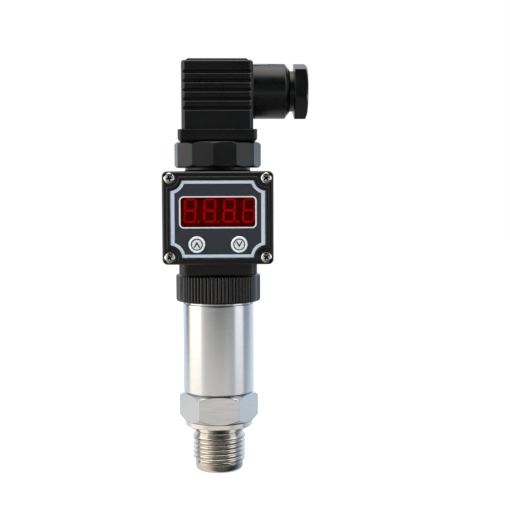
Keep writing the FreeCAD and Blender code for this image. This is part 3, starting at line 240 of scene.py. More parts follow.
def softCorner(radius, height, size, curve, upward=1):
    # points that round a profile's outer corner; the curve holds shares of the size, in from the
    # radius and up from the height, or down from it where upward is -1
    points = [(radius - size * inward, height + upward * size * rise) for inward, rise in curve]
    return points if upward > 0 else points[::-1]


def turnProfile(points, steps, closed=True):
    # a profile of (radius, height) spun once round Z
    piece = drawLine(points, closed)
    editAll(piece)
    bpy.ops.mesh.spin(steps=steps, angle=2 * math.pi, center=(0, 0, 0), axis=(0, 0, 1))
    bpy.ops.object.mode_set(mode="OBJECT")
    tidyMesh(piece)
    return piece


def cutPlate(points, thickness):
    # a flat plate in the XZ plane, of that outline, from y = 0 back
    piece = drawLine(points, True)
    editAll(piece)
    bpy.ops.mesh.remove_doubles(threshold=weld)
    bpy.ops.mesh.edge_face_add()
    bpy.ops.mesh.extrude_region_move(TRANSFORM_OT_translate={"value": (0, thickness * mm, 0)})
    bpy.ops.object.mode_set(mode="OBJECT")
    tidyMesh(piece)
    return piece


def mouldedCopy(nodeName, radius):
    # the CAD node's own form with its seams merged, its flats joined and its edges rounded, no
    # larger than the node
    piece = copyPiece(frame["nodes"][nodeName])
    piece.parent = None
    piece.matrix_world = Matrix.Identity(4)
    editAll(piece)
    bpy.ops.mesh.remove_doubles(threshold=0.0005 * mm)      # fine enough to keep small facets apart
    bpy.ops.mesh.dissolve_limited(angle_limit=math.radians(0.5))
    bpy.ops.object.mode_set(mode="OBJECT")
    roundEdges(piece, radius, 2, 25)    # flatter edges than 25 degrees are facets of one curve
    low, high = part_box(nodeName)
    for vertex in piece.data.vertices:
        vertex.co = [min(max(place, a), b) for place, a, b in zip(vertex.co, low, high)]
    tidyMesh(piece, 35)
    return piece


def mouldedNylon(name, tones, grain, roughness, gloss):
    # glass-filled polyamide from a spark-eroded mould: a fine even grain, soft highlights, a slight
    # mottle where the fibres come near the skin
    mottleSize, grainHeight = 9 * mm, 0.02 * mm
    material, tree, shader, coords = startMaterial(name, {"IOR": 1.53, "Specular IOR Level": gloss})
    mottle = addNode(tree, "TexNoise", {"Scale": 1 / mottleSize, "Detail": 3.0}, {"Vector": coords})
    colour = addNode(tree, "ValToRGB", {"stops": toneStops(tones)}, {"Fac": mottle})
    rough = addNode(
        tree, "ValToRGB", {"stops": [(0.3, grey(roughness - 0.04)), (0.7, grey(roughness + 0.05))]},
        {"Fac": mottle})
    skin = addNode(tree, "TexNoise", {"Scale": 1 / (grain * mm), "Detail": 2.0}, {"Vector": coords})
    bump = addNode(tree, "Bump", {"Strength": 0.04, "Distance": grainHeight}, {"Height": skin})
    linkTo(tree, shader, {"Base Color": colour, "Roughness": rough, "Normal": bump})
    return material


def turnedSteel(name, tones, roughness, streak, along, lift):
    # stainless bar or tube: fine tool marks that run round the axis, so a highlight is drawn out
    # into upright bands with faint lines across them; a mark is streak mm long and that over along
    # mm high, coarser than real ones so that it shows
    markHeight = 0.01 * mm
    material, tree, shader, coords = startMaterial(name, {"Metallic": 1.0})
    squeeze = addNode(tree, "Mapping", {"Scale": (1, 1, along)}, {"Vector": coords})
    lines = addNode(
        tree, "TexNoise", {"Scale": 1 / (streak * mm), "Detail": 4.0, "Roughness": 0.6},
        {"Vector": squeeze})
    colour = addNode(tree, "ValToRGB", {"stops": toneStops(tones, 0.35, 0.65)}, {"Fac": lines})
    rough = addNode(
        tree, "ValToRGB", {"stops": [(0.3, grey(roughness - 0.02)), (0.7, grey(roughness + 0.03))]},
        {"Fac": lines})
    bump = addNode(tree, "Bump", {"Strength": lift, "Distance": markHeight}, {"Height": lines})
    linkTo(tree, shader, {"Base Color": colour, "Roughness": rough, "Normal": bump})
    return material


def plainSurface(name, tones, roughness, metallic=0.0, grain=0.6, lift=0.01):
    # a surface with a fine even variation of tone and height, grain mm wide and lift mm high
    material, tree, shader, coords = startMaterial(name, {"Metallic": metallic, "Roughness": roughness})
    noise = addNode(tree, "TexNoise", {"Scale": 1 / (grain * mm), "Detail": 3.0}, {"Vector": coords})
    colour = addNode(tree, "ValToRGB", {"stops": toneStops(tones)}, {"Fac": noise})
    bump = addNode(tree, "Bump", {"Strength": 0.2, "Distance": lift * mm}, {"Height": noise})
    linkTo(tree, shader, {"Base Color": colour, "Normal": bump})
    return material


panelPrint = {
    # sizes in mm
    "border": 1.1,          # silver band inside the panel's edge
    "sideMargin": 0.33,     # slate left outside the band at the two sides
    "notch": 4.7,           # radius of the panel's cut round each screw
    "windowRim": 0.8,       # how far the filter reaches behind the panel, past the window's side
    "windowHalfHigh": 5.5,
    "windowBorder": 0.45,
    "windowCorner": 1.3,
    "grain": 0.35,          # of the film, coarser than a real one so that it shows
    "slate": ("#21262e", "#282d36"),
    "silver": ("#b6c1cc", "#c0cbd6"),
    "rose": ("#cfc8ca", "#dad3d5"),     # the window's border
    "inkRoughness": 0.55,
    "silverRoughness": 0.35,
}


def printedPanel(ink):
    # screen-printed polyester label: matt slate ink, with smooth silver lines along its edge and
    # round its window
    low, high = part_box("face_panel")
    windowLow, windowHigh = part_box("window_filter")
    screwsLow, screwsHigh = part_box("bezel_screws")
    headRadius = screwHead * mm
    corner = ink["windowCorner"] * mm
    material, tree, shader, coords = startMaterial("slatePrintedPolyester", {"IOR": 1.5})
    place = addNode(tree, "SeparateXYZ", {}, {"Vector": coords}).outputs
    steps = {"x": place[0], "z": place[2]}
    for name, operation, first, second in (
        # distances outside the panel's sides, ends and corner cuts
        ("across", "ABSOLUTE", "x", 0.0),
        ("side", "SUBTRACT", "across", high.x - ink["sideMargin"] * mm),
        ("lift", "SUBTRACT", "z", (low.z + high.z) / 2),
        ("panelRise", "ABSOLUTE", "lift", 0.0),
        ("end", "SUBTRACT", "panelRise", (high.z - low.z) / 2),
        ("screwLift", "SUBTRACT", "z", (screwsLow.z + screwsHigh.z) / 2),
        ("screwRise", "ABSOLUTE", "screwLift", 0.0),
        ("screwSide", "SUBTRACT", "across", screwsHigh.x - headRadius),
        ("screwEnd", "SUBTRACT", "screwRise", (screwsHigh.z - screwsLow.z) / 2 - headRadius),
        ("sideSquare", "MULTIPLY", "screwSide", "screwSide"),
        ("endSquare", "MULTIPLY", "screwEnd", "screwEnd"),
        ("square", "ADD", "sideSquare", "endSquare"),
        ("reach", "SQRT", "square", 0.0),
        ("notch", "SUBTRACT", ink["notch"] * mm, "reach"),
        ("sideOrEnd", "MAXIMUM", "side", "end"),
        ("edge", "MAXIMUM", "sideOrEnd", "notch"),
        ("band", "GREATER_THAN", "edge", -ink["border"] * mm),
        # the window's rounded outline, grown by its border
        ("windowLift", "SUBTRACT", "z", (windowLow.z + windowHigh.z) / 2),
        ("windowRise", "ABSOLUTE", "windowLift", 0.0),
        ("pastSide", "SUBTRACT", "across", windowHigh.x - ink["windowRim"] * mm - corner),
        ("pastEnd", "SUBTRACT", "windowRise", ink["windowHalfHigh"] * mm - corner),
        ("cornerSide", "MAXIMUM", "pastSide", 0.0),
        ("cornerEnd", "MAXIMUM", "pastEnd", 0.0),
        ("cornerSideSquare", "MULTIPLY", "cornerSide", "cornerSide"),
        ("cornerEndSquare", "MULTIPLY", "cornerEnd", "cornerEnd"),
        ("cornerSquare", "ADD", "cornerSideSquare", "cornerEndSquare"),
        ("cornerReach", "SQRT", "cornerSquare", 0.0),
        ("frameLine", "LESS_THAN", "cornerReach", corner + ink["windowBorder"] * mm),
        ("silver", "MAXIMUM", "band", "frameLine"),
    ):
        pair = {0: first, 1: second}
        numbers = {key: value for key, value in pair.items() if not isinstance(value, str)}
        links = {key: steps[value] for key, value in pair.items() if isinstance(value, str)}
        steps[name] = addNode(tree, "Math", {"operation": operation, **numbers}, links)
    grain = addNode(tree, "TexNoise", {"Scale": 1 / (ink["grain"] * mm), "Detail": 2.0}, {"Vector": coords})
    inks = {
        name: addNode(tree, "ValToRGB", {"stops": toneStops(ink[name])}, {"Fac": grain})
        for name in ("slate", "silver", "rose")
    }
    # a colour Mix has its two colours at sockets 6 and 7, and its result at output 2
    edged = addNode(
        tree, "Mix", {"data_type": "RGBA"},
        {"Factor": steps["band"], 6: inks["slate"], 7: inks["silver"]})
    framed = addNode(
        tree, "Mix", {"data_type": "RGBA"},
        {"Factor": steps["frameLine"], 6: edged.outputs[2], 7: inks["rose"]})
    rough = addNode(
        tree, "MapRange", {"To Min": ink["inkRoughness"], "To Max": ink["silverRoughness"]},
        {"Value": steps["silver"]})
    bump = addNode(tree, "Bump", {"Strength": 0.1, "Distance": 0.01 * mm}, {"Height": grain})
    linkTo(tree, shader, {"Base Color": framed.outputs[2], "Roughness": rough, "Normal": bump})
    return material


def castAcrylic(name, tones):
    # red cast acrylic filter: clear and deep red, with an IOR below acrylic's 1.49 so that its face
    # mirrors little, as a matted one does
    material, tree, shader, coords = startMaterial(name, {
        "IOR": 1.2, "Roughness": 0.04, "Transmission Weight": 1.0})
    haze = addNode(tree, "TexNoise", {"Scale": 1 / (6 * mm), "Detail": 2.0}, {"Vector": coords})
    tint = addNode(tree, "ValToRGB", {"stops": toneStops(tones)}, {"Fac": haze})
    linkTo(tree, shader, {"Base Color": tint})
    return material


def glowingEpoxy(name, tones, strength, grain):
    # diffused epoxy that glows, unevenly over its length: a real glow on the lit bars, a painted glow on
    # the unlit bar and on the potted face
    material, tree, shader, coords = startMaterial(name, {"Roughness": 0.5, "Emission Strength": strength})
    glow = addNode(tree, "TexNoise", {"Scale": 1 / (grain * mm), "Detail": 1.0}, {"Vector": coords})
    red = addNode(tree, "ValToRGB", {"stops": toneStops(tones)}, {"Fac": glow})
    linkTo(tree, shader, {"Emission Color": red, "Base Color": red})
    return material


print("making materials")
# the case, bezel, plug and nuts as they leave the mould: deep black, with soft light along the edges
caseNylon = mouldedNylon(
    "blackMouldedNylon", ("#08090a", "#0c0d0f"), grain=0.25, roughness=0.3, gloss=0.4)
# the ring's mould is smoother, so its flutes catch a tighter light
ringNylon = mouldedNylon(
    "blackKnurledNylon", ("#050504", "#080807"), grain=0.25, roughness=0.22, gloss=0.6)
# drawn tube brushed round its axis: a bright skin with faint lines across a tall highlight
tubeSteel = turnedSteel(
    "brushedStainlessTube", ("#c4c4c5", "#cecece"), roughness=0.17, streak=6.0, along=60, lift=0.04)
# milled bar: each flat mirrors one part of the room, slightly blurred
hexagonSteel = turnedSteel(
    "machinedStainlessHexagon", ("#c0c0c0", "#c6c6c6"), roughness=0.15, streak=8.0, along=20, lift=0.0)
# the same bar where a cutter left it smoother and warmer: bright crests over dark roots
threadSteel = turnedSteel(
    "turnedStainlessThread", ("#c8c4be", "#d2cec8"), roughness=0.12, streak=6.0, along=30, lift=0.0)
panelInk = printedPanel(panelPrint)
filterAcrylic = castAcrylic("redCastAcrylic", ("#e83a34", "#f04038"))
# the digits' diffused epoxy, which the filter deepens: lit bars glow, and the unlit one is given a painted
# glow so that it shows as a dim bar
segmentLit = glowingEpoxy("litDiffusedEpoxy", ("#8c100d", "#a81814"), strength=0.26, grain=3.0)
unlitBarPaintedGlow = glowingEpoxy("unlitEpoxyPaintedGlow", ("#5a0806", "#680a08"), strength=0.5, grain=3.0)
# painted light: the potted face round them glows a dim red of its own, in place of the light that would
# reach it through the filter
displayPaintedGlow = glowingEpoxy("pottedEpoxyPaintedGlow", ("#1c0403", "#2c0605"), strength=0.6, grain=7.0)
# blasted and anodised caps: pale and satin, with a broad highlight
buttonSilver = plainSurface(
    "satinAnodisedAluminium", ("#e6ebf0", "#f1f5f8"), 0.25, metallic=0.3, grain=0.4, lift=0.004)
# pad-printed marks: flat black on the bright caps
markInk = plainSurface("blackPadPrintInk", ("#17181a", "#222326"), 0.55)
# nickel plate on the screws: small and bright, nearly a mirror
screwNickel = plainSurface(
    "brightNickelPlate", ("#f0f0f2", "#f8f8fa"), 0.22, metallic=1.0, grain=0.8, lift=0.002)
# painted shade: the same plate down in the cross, coloured nearly black for the shade of its own walls
recessPaintedShade = plainSurface(
    "paintedShadeInRecess", ("#0b0b0d", "#141416"), 0.3, metallic=0.4, grain=0.4, lift=0.004)
# hardened and blued clip: a dark steel shine
springSteel = plainSurface("bluedSpringSteel", ("#5c6068", "#70747c"), 0.3, metallic=1.0)
# stamped and tinned contacts: a pale yellow metal
brass = plainSurface("tinnedBrass", ("#b8a36a", "#cdb97e"), 0.32, metallic=1.0)
# moulded seals: matt black without a highlight
rubber = plainSurface("mouldedNitrileRubber", ("#101010", "#181818"), 0.75, grain=0.3, lift=0.02)
# solder lacquer over glass cloth: a half-glossy green
boardGreen = plainSurface("lacqueredFibreglassBoard", ("#14532c", "#1b6336"), 0.4, grain=0.5)
# chips and headers: a dull dark grey
chipEpoxy = plainSurface("blackMouldedEpoxy", ("#1a1a1c", "#232326"), 0.6)
# unfilled polyamide: a warm white
spacerNylon = plainSurface("naturalNylon", ("#d8d4c6", "#e4e0d4"), 0.5)

slotMaterials = {
    "bar_steel": hexagonSteel,
    "tube_steel": tubeSteel,
    "spring_steel": springSteel,
    "case_black": caseNylon,
    "ring_black": ringNylon,
    "panel_slate": panelInk,
    "red_acrylic": filterAcrylic,
    # the display's face takes the painted glow
    "display_white": displayPaintedGlow,
    "button_silver": buttonSilver,
    "screw_plated": screwNickel,
    "brass_contact": brass,
    "black_rubber": rubber,
    "board_green": boardGreen,
    "component_black": chipEpoxy,
    "spacer_nylon": spacerNylon,
}


def findSlots(record):
    # the record's pairs of node and material slot, wherever they stand in it
    found = {}
    stack = [record]
    while stack:
        item = stack.pop()
        if isinstance(item, dict):
            if "node" in item and "material_slot" in item:
                found[item["node"]] = item["material_slot"]
            stack.extend(item.values())
        elif isinstance(item, list):
            stack.extend(item)
    return found


nodeSlots = findSlots(frame["record"])
for nodeName, node in frame["nodes"].items():
    node.data.materials.clear()
    node.data.materials.append(slotMaterials[nodeSlots[nodeName]])


tube = {
    # mm
    "wall": 1.0,
    "slip": 0.1,            # clearance over the fitting's spigot
    "bevel": 0.4,           # at the top edge
    "bevelLoop": 0.2,       # a loop this far under it keeps the wall's shading straight
    "shoulder": (0.1, 0.15),    # in and down from the top corner, halfway round the bevel
    "foot": (0.1, 0.12),    # in and up, at the bottom edge
    "steps": 160,           # facets round the axis
}


def tubeInner():
    # the radius of the fitting's spigot, which the tube goes over
    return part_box("body_tube")[1].x / mm - tube["wall"] - tube["slip"]


def makeTube(size):
    low, high = (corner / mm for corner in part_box("body_tube"))
    outer, bevelFoot = high.x, high.z - size["bevel"]
    inner = outer - size["wall"]
    shoulderIn, shoulderDown = size["shoulder"]
    footIn, footUp = size["foot"]
    piece = turnProfile([
        (inner, low.z), (outer - footIn, low.z), (outer, low.z + footUp),
        (outer, bevelFoot - size["bevelLoop"]), (outer, bevelFoot),
        (outer - shoulderIn, high.z - shoulderDown), (outer - size["bevel"], high.z), (inner, high.z),
    ], size["steps"])
    return finishPiece(piece, "brushedTube", "body", tubeSteel, ["body_tube"])


fitting = {
    # radii and heights in mm, heights from the nose's end
    "steps": 128,           # facets round the axis
    "portRadius": 2.0,
    "portChamfer": 0.25,
    "seatHeight": 24.0,
    "pocketRadius": 9.6,
    "noseRadius": 9.45,
    "noseRound": 1.7,
    "noseCurve": ((1, 0), (0.62, 0.08), (0.29, 0.29), (0.08, 0.62), (0, 1)),
    "noseTop": 3.4,
    "threadEnd": 13.65,     # where the ribs meet the plain land under the lead
    "rootEnd": 0.35,        # how far below it the ribs' root starts to rise
    "leadBottom": 13.85,
    "leadTop": 15.3,
    "landBreak": 0.06,
    "leadBreak": 0.04,
    "crestRadius": 10.4775,
    "threadDepth": 1.1616,
    "pitch": 1.814,
    "threadForm": (         # over one pitch: share of the pitch, share of the depth
        (0, 0), (0.09, 0.03), (0.18, 0.14), (0.34, 0.62), (0.41, 0.9), (0.5, 1.0), (0.59, 0.9),
        (0.66, 0.62), (0.82, 0.14), (0.91, 0.03), (1, 0)),
    "threadSteps": 144,     # to one turn
    "startSlope": 1.1,      # how steeply the ribs rise from the nose
    "reliefRadius": 9.1,
    "reliefTop": 15.6,
    "collarRadius": 13.4,
    "collarBottom": 18.2,
    "fineBreak": 0.05,      # how far broken edges reach: fine ones, wide ones, and the cone's two ends
    "wideBreak": 0.1,
    "coneBreak": 0.15,
    "hexagonBottom": 19.9,
    "hexagonEdge": 0.16,
    "cornerDrop": 1.9,      # how far the lower bevel reaches up the corners
    "seatReach": 0.15,      # width of the flat under the tube
    "seatDrop": 0.45,       # the dark step between that flat and the upper bevel
    "topSlope": 0.62,
}


def makeThread(size):
    # one pitch of rounded thread form, wound up the bar, then pressed flat beyond its two ends
    low, high, pitch = size["noseTop"], size["threadEnd"], size["pitch"]
    root = size["crestRadius"] - size["threadDepth"]
    start = low - pitch
    piece = drawLine([
        (root + depth * size["threadDepth"], start + rise * pitch) for rise, depth in size["threadForm"]])
    addModifier(
        piece, "SCREW", axis="Z", angle=2 * math.pi, screw_offset=pitch * mm,
        iterations=math.ceil((high - start) / pitch), steps=size["threadSteps"],
        render_steps=size["threadSteps"], use_merge_vertices=True, merge_threshold=0.001 * mm)
    for vertex in piece.data.vertices:
        height = min(max(vertex.co.z, low * mm), high * mm)
        radius = math.hypot(vertex.co.x, vertex.co.y)
        share = min(radius, root * mm + (height - low * mm) * size["startSlope"]) / radius
        vertex.co = (vertex.co.x * share, vertex.co.y * share, height)
    tidyMesh(piece, 60)
    return piece


def makeHexagon(size, flats, low, high):
    # a six-sided prism met by a turned barrel, which bevels its corners
    corner = flats / math.sqrt(3)
    deselectAll()
    bpy.ops.mesh.primitive_cylinder_add(
        vertices=6, radius=corner * mm, depth=(high - low) * mm,
        location=(0, 0, (low + high) / 2 * mm), rotation=(0, 0, math.pi / 6))
    prism = bpy.context.object
    bpy.ops.object.transform_apply(location=True, rotation=True, scale=True)
    face = size["collarRadius"]
    beyond = 2 * corner - face
    seat = tubeInner() + size["seatReach"]
    shoulder = high - size["seatDrop"]
    barrel = turnProfile([
        (0, low), (face, low), (beyond, low + 2 * size["cornerDrop"]),
        (beyond, shoulder - (beyond - seat) * size["topSlope"]), (seat, shoulder), (seat, high), (0, high),
    ], size["steps"], False)
    carve(prism, barrel, "INTERSECT")
    roundEdges(prism, size["hexagonEdge"], 2, 20)
    tidyMesh(prism)
    return prism


def makeFitting(size):
    low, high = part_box("process_connection")
    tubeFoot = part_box("body_tube")[0].z / mm
    bore, top = tubeInner(), high.z / mm
    crest, port = size["crestRadius"], size["portRadius"]
    root = crest - size["threadDepth"]
    fine, wide, cone = size["fineBreak"], size["wideBreak"], size["coneBreak"]
    bar = turnProfile([
        (port, size["portChamfer"]), (port + size["portChamfer"], 0),
        *softCorner(size["noseRadius"], 0, size["noseRound"], size["noseCurve"]),
        (size["noseRadius"], size["noseTop"] - wide), (root - fine, size["noseTop"] + wide),
        (root - fine, size["threadEnd"] - size["rootEnd"]), (crest - wide, size["threadEnd"] - fine),
        (crest, size["threadEnd"] + fine), (crest, size["leadBottom"] - fine),
        (crest - size["landBreak"], size["leadBottom"] + fine),
        (root + fine, size["leadTop"] - size["leadBreak"]), (root - fine, size["leadTop"]),
        (size["reliefRadius"], size["leadTop"]), (size["reliefRadius"], size["reliefTop"] - wide),
        (size["reliefRadius"] + cone, size["reliefTop"]),
        (size["collarRadius"] - cone, size["collarBottom"] - wide),
        (size["collarRadius"], size["collarBottom"] + wide), (size["collarRadius"], size["hexagonBottom"]),
        (bore, size["hexagonBottom"]), (bore, top), (size["pocketRadius"], top),
        (size["pocketRadius"], size["seatHeight"]), (port, size["seatHeight"]),
    ], size["steps"])
    bar.data.materials.append(threadSteel)
    thread = makeThread(size)
    thread.data.materials.append(threadSteel)
    flats = (high.y - low.y) / mm
    hexagon = makeHexagon(size, flats, size["hexagonBottom"], tubeFoot)
    hexagon.data.materials.clear()
    hexagon.data.materials.append(hexagonSteel)
    piece = joinPieces([bar, thread, hexagon])
    return finishPiece(piece, "processFitting", "body", None, ["process_connection"])


print("making the process fitting and the tube")
makeFitting(fitting)
makeTube(tube)


mouldedParts = {
    # node: piece name, its body, edge radius in mm
    "head_case": ("displayCase", "body", 0.25),
    "bezel": ("displayBezel", "body", 0.26),
    "head_nut": ("twelveSidedNut", "head_nut", 0.22),
    "upper_socket": ("squareSocket", "body", 0.3),
    "plug_housing": ("groovedPlug", "body", 0.32),
    "gland_nut": ("glandNut", "gland_nut", 0.22),
}
print("rounding the moulded parts")
for nodeName, (pieceName, bodyName, radius) in mouldedParts.items():
    finishPiece(
        mouldedCopy(nodeName, radius), pieceName, bodyName, caseNylon, [nodeName])


knurl = {
    # mm and degrees
    "wall": 2.1,
    "lipRadius": 13.07,
    "lipHeight": 3.2,
    "softFoot": 0.9,        # how far the rounding at the foot and the top reaches in
    "softTop": 0.65,
    "softCurve": ((1, 0), (0.45, 0.16), (0.14, 0.5), (0, 1)),
    "pitch": 5,             # angle from flute to flute
    "run": 21,              # flutes in a row, before each smooth stretch
    "stretches": 3,
    "turn": -21,            # where the first flute came to rest
    "depth": 0.6,
    "slices": 8,            # facets over one pitch
}


def makeRing(size):
    # a plain turned ring, then its wall drawn in between rounded crests to make the flutes
    low, high = (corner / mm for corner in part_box("union_ring"))
    outer, curve, pitch = high.x, size["softCurve"], size["pitch"]
    inner = outer - size["wall"]
    shoulder = high.z - size["lipHeight"]
    repeat = 360 / size["stretches"]
    piece = turnProfile([
        (inner, low.z), *softCorner(outer, low.z, size["softFoot"], curve),
        *softCorner(outer, high.z, size["softTop"], curve, -1),
        (size["lipRadius"], high.z), (size["lipRadius"], shoulder), (inner, shoulder),
    ], round(360 / pitch * size["slices"]))
    for vertex in piece.data.vertices:
        angle = math.degrees(math.atan2(vertex.co.y, vertex.co.x)) % repeat
        flute = min(round(angle / pitch), size["run"] - 1)
        away = min(abs(angle - flute * pitch), repeat - angle) * 2 / pitch
        wall = (outer - size["depth"] * max(1 - away, 0) ** 2) * mm
        share = min(wall / math.hypot(vertex.co.x, vertex.co.y), 1)
        vertex.co.x *= share
        vertex.co.y *= share
    tidyMesh(piece, 35)
    setPlace(piece, (0, 0, 0), (0, 0, size["turn"]))
    return finishPiece(piece, "knurledRing", "union_ring", ringNylon, ["union_ring"])


print("making the knurled ring")
makeRing(knurl)


crossScrew = {
    # mm and degrees
    "headRadius": screwHead,
    "headHeight": 1.5,
    "dome": 0.6,            # how far the head's middle stands over its rim
    "rim": 0.4,             # how far the rim lies behind the CAD head's face
    "shankRadius": 1.25,
    "length": 11.0,
    "point": (0.5, 0.6),    # in and up, at the shank's end
    "crossSpan": 2.6,
    "crossWidth": 0.9,
    "crossDepth": 1.3,
    "crossTaper": 0.55,     # the recess's floor as a share of its mouth
    "turns": (12, 38, 30, 50),  # where each recess came to rest
    "steps": 64,            # facets round the axis
}


def makeScrews(size):
    # a domed head with a cross recess, made once and set down in the four corners
    low, high = (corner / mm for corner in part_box("bezel_screws"))
    head, rim, under, shank = size["headRadius"], size["rim"], size["headHeight"], size["shankRadius"]
    pointIn, pointUp = size["point"]

    rimAngle, rimCosine = 60, 0.5   # the dome is a flattened cap of a ball, out to this angle
    rimSine = math.sin(math.radians(rimAngle))

    def domeHeight(cosine):
        return size["dome"] * (cosine - rimCosine) / rimCosine - rim

    angles = [math.radians(angle) for angle in range(0, rimAngle, 6)]
    crown = [(head * math.sin(angle) / rimSine, domeHeight(math.cos(angle))) for angle in angles]
    screw = turnProfile(crown + [
        (head, -rim), (head, -under), (shank, -under), (shank, -size["length"] + pointUp),
        (shank - pointIn, -size["length"]), (0, -size["length"]),
    ], size["steps"], False)
    for turn in (0, 90):
        deselectAll()
        bpy.ops.mesh.primitive_cube_add(size=mm, location=(0, 0, 0))
        arm = bpy.context.object
        arm.scale = (size["crossSpan"], size["crossWidth"], size["crossDepth"] * 2)
        arm.rotation_euler.z = math.radians(turn)
        bpy.ops.object.transform_apply(location=True, rotation=True, scale=True)
        selectFaces(arm, lambda face: face.normal.z < -0.9)
        bpy.ops.transform.resize(value=(size["crossTaper"], size["crossTaper"], 1))
        bpy.ops.object.mode_set(mode="OBJECT")
        carve(screw, arm)
    tidyMesh(screw, 35)
    screw.data.materials.append(screwNickel)

    def inRecess(face):
        # under the dome's skin, within the cross, with a small margin to each
        reach = math.hypot(face.center.x, face.center.y) / mm
        if reach >= size["crossSpan"] / 2:
            return False
        skin = domeHeight(math.sqrt(1 - (reach / head * rimSine) ** 2))
        return skin - 0.04 > face.center.z / mm > -size["crossDepth"] - 0.1

    # the recess's faces take the painted shade, coloured nearly black
    paintFaces(screw, recessPaintedShade, inRecess)
    spreadX, spreadZ = high.x - head, (high.z - low.z) / 2 - head
    middle = (high.z + low.z) / 2
    corners = [(-spreadX, middle + spreadZ), (spreadX, middle + spreadZ),
               (-spreadX, middle - spreadZ), (spreadX, middle - spreadZ)]
    screws = []
    for (x, z), turn in zip(corners, size["turns"]):
        one = copyPiece(screw)
        setPlace(one, (0, 0, 0), (0, 0, turn))
        setPlace(one, (x, low.y, z), (90, 0, 0))
        screws.append(one)
    bpy.data.objects.remove(screw)
    return finishPiece(
        joinPieces(screws), "crossHeadScrews", "body", None, ["bezel_screws"])


centreScrewEdge = 0.12  # radius of its broken edges, mm


def makeCentreScrew():
    piece = mouldedCopy("centre_screw", centreScrewEdge)
    return finishPiece(piece, "plugScrew", "body", screwNickel, ["centre_screw"])


button = {
    # mm; depths are behind the cap's face
    "capRadius": 3.1,
    "bevel": 0.6,
    "bevelCurve": ((1, 0), (0.5, 0.13), (0.13, 0.5), (0, 1)),
    "grooveInner": 1.85,
    "grooveOuter": 2.25,
    "grooveDepth": 0.55,
    "grooveMargin": 0.02,   # faces this near the groove, and deeper than lipDepth, are painted with it
    "lipDepth": 0.1,
    "grooveLip": ((0, 0.12), (0.1, 0.02), (0.25, 0)),   # out from the groove, and depth
    "dishDepth": 0.3,
    "dishBreak": (0.1, 0.08),   # in from the groove, and down from the dish
    "flangeTop": 4.0,
    "flangeBottom": 4.8,
    "stemRadius": 1.6,
    "steps": 72,            # facets round the axis
    "markHigh": 2.3,
    "markWide": 2.6,
    "markStroke": 0.575,
    "markNotch": 1.8,       # how far the arrow's inner point lies below its outer one, in strokes
    "markThickness": 0.03,
}


def makeButton(size, nodeName, name, bodyName, turn):
    # a satin cap with a dark ring sunk round its middle and an arrowhead printed in it
    low, high = (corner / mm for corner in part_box(nodeName))
    middle = (low + high) / 2
    length, flange = high.y - low.y, (high.x - low.x) / 2
    inner, outer = size["grooveInner"], size["grooveOuter"]
    dish, stem = size["dishDepth"], size["stemRadius"]
    breakIn, breakDown = size["dishBreak"]
    piece = turnProfile([
        (0, dish), (inner - breakIn, dish), (inner, dish + breakDown),
        (inner, size["grooveDepth"]), (outer, size["grooveDepth"]),
        *((outer + out, depth) for out, depth in size["grooveLip"]),
        *softCorner(size["capRadius"], 0, size["bevel"], size["bevelCurve"]),
        (size["capRadius"], size["flangeTop"]), (flange, size["flangeTop"]),
        (flange, size["flangeBottom"]), (stem, size["flangeBottom"]), (stem, length), (0, length),
    ], size["steps"], False)
    setPlace(piece, (middle.x, low.y, middle.z), (-90, 0, 0))
    piece.data.materials.append(buttonSilver)

    def inGroove(face):
        reach = math.hypot(face.center.x - middle.x * mm, face.center.z - middle.z * mm) / mm
        depth = face.center.y / mm - low.y
        within = inner - size["grooveMargin"] < reach < outer + size["grooveMargin"]
        return within and size["lipDepth"] < depth < size["flangeTop"]

    paintFaces(piece, markInk, inGroove)
    finishPiece(piece, name, bodyName, None, [nodeName])
    wide, tall, stroke = size["markWide"] / 2, size["markHigh"] / 2, size["markStroke"]
    arrow = cutPlate([
        (0, tall), (wide, -tall), (wide - stroke, -tall), (0, tall - stroke * size["markNotch"]),
        (stroke - wide, -tall), (-wide, -tall),
    ], size["markThickness"])
    setPlace(arrow, (middle.x, low.y + dish - size["markThickness"] / 2, middle.z), (0, turn, 0))
    finishPiece(arrow, name + "Mark", bodyName, markInk)


print("making the screws and the buttons")
makeScrews(crossScrew)
makeCentreScrew()
makeButton(button, "button_up", "upButtonCap", "button_up", 0)
makeButton(button, "button_down", "downButtonCap", "button_down", 180)


digits = {
    # mm and degrees
    "count": 4,
    "pitch": 7.28,
    "offset": 0.6,          # the row's middle stands this far right of the window's
    "rise": 0.6,            # and this far above it
    "high": 9.2,
    "wide": 4.75,
    "stroke": 0.82,
    "gap": 0.1,
    "slant": 2.9,
    "dot": 0.95,
    "dotOut": 0.95,         # the point's middle, out from the digit's right side
    "dotDrop": 0.1,         # and down from the lowest bar's middle, in strokes
    "dotEdge": 0.04,
    "thickness": 0.15,
    "unlit": (3, "upperRight"),
}


def makeBar(size, length):
    # a bar with pointed ends, drawn as its outline and given its thickness
    half, stroke = length / 2 - size["gap"], size["stroke"] / 2
    return cutPlate([
        (-half, 0), (stroke - half, stroke), (half - stroke, stroke), (half, 0),
        (half - stroke, -stroke), (stroke - half, -stroke),
    ], size["thickness"])


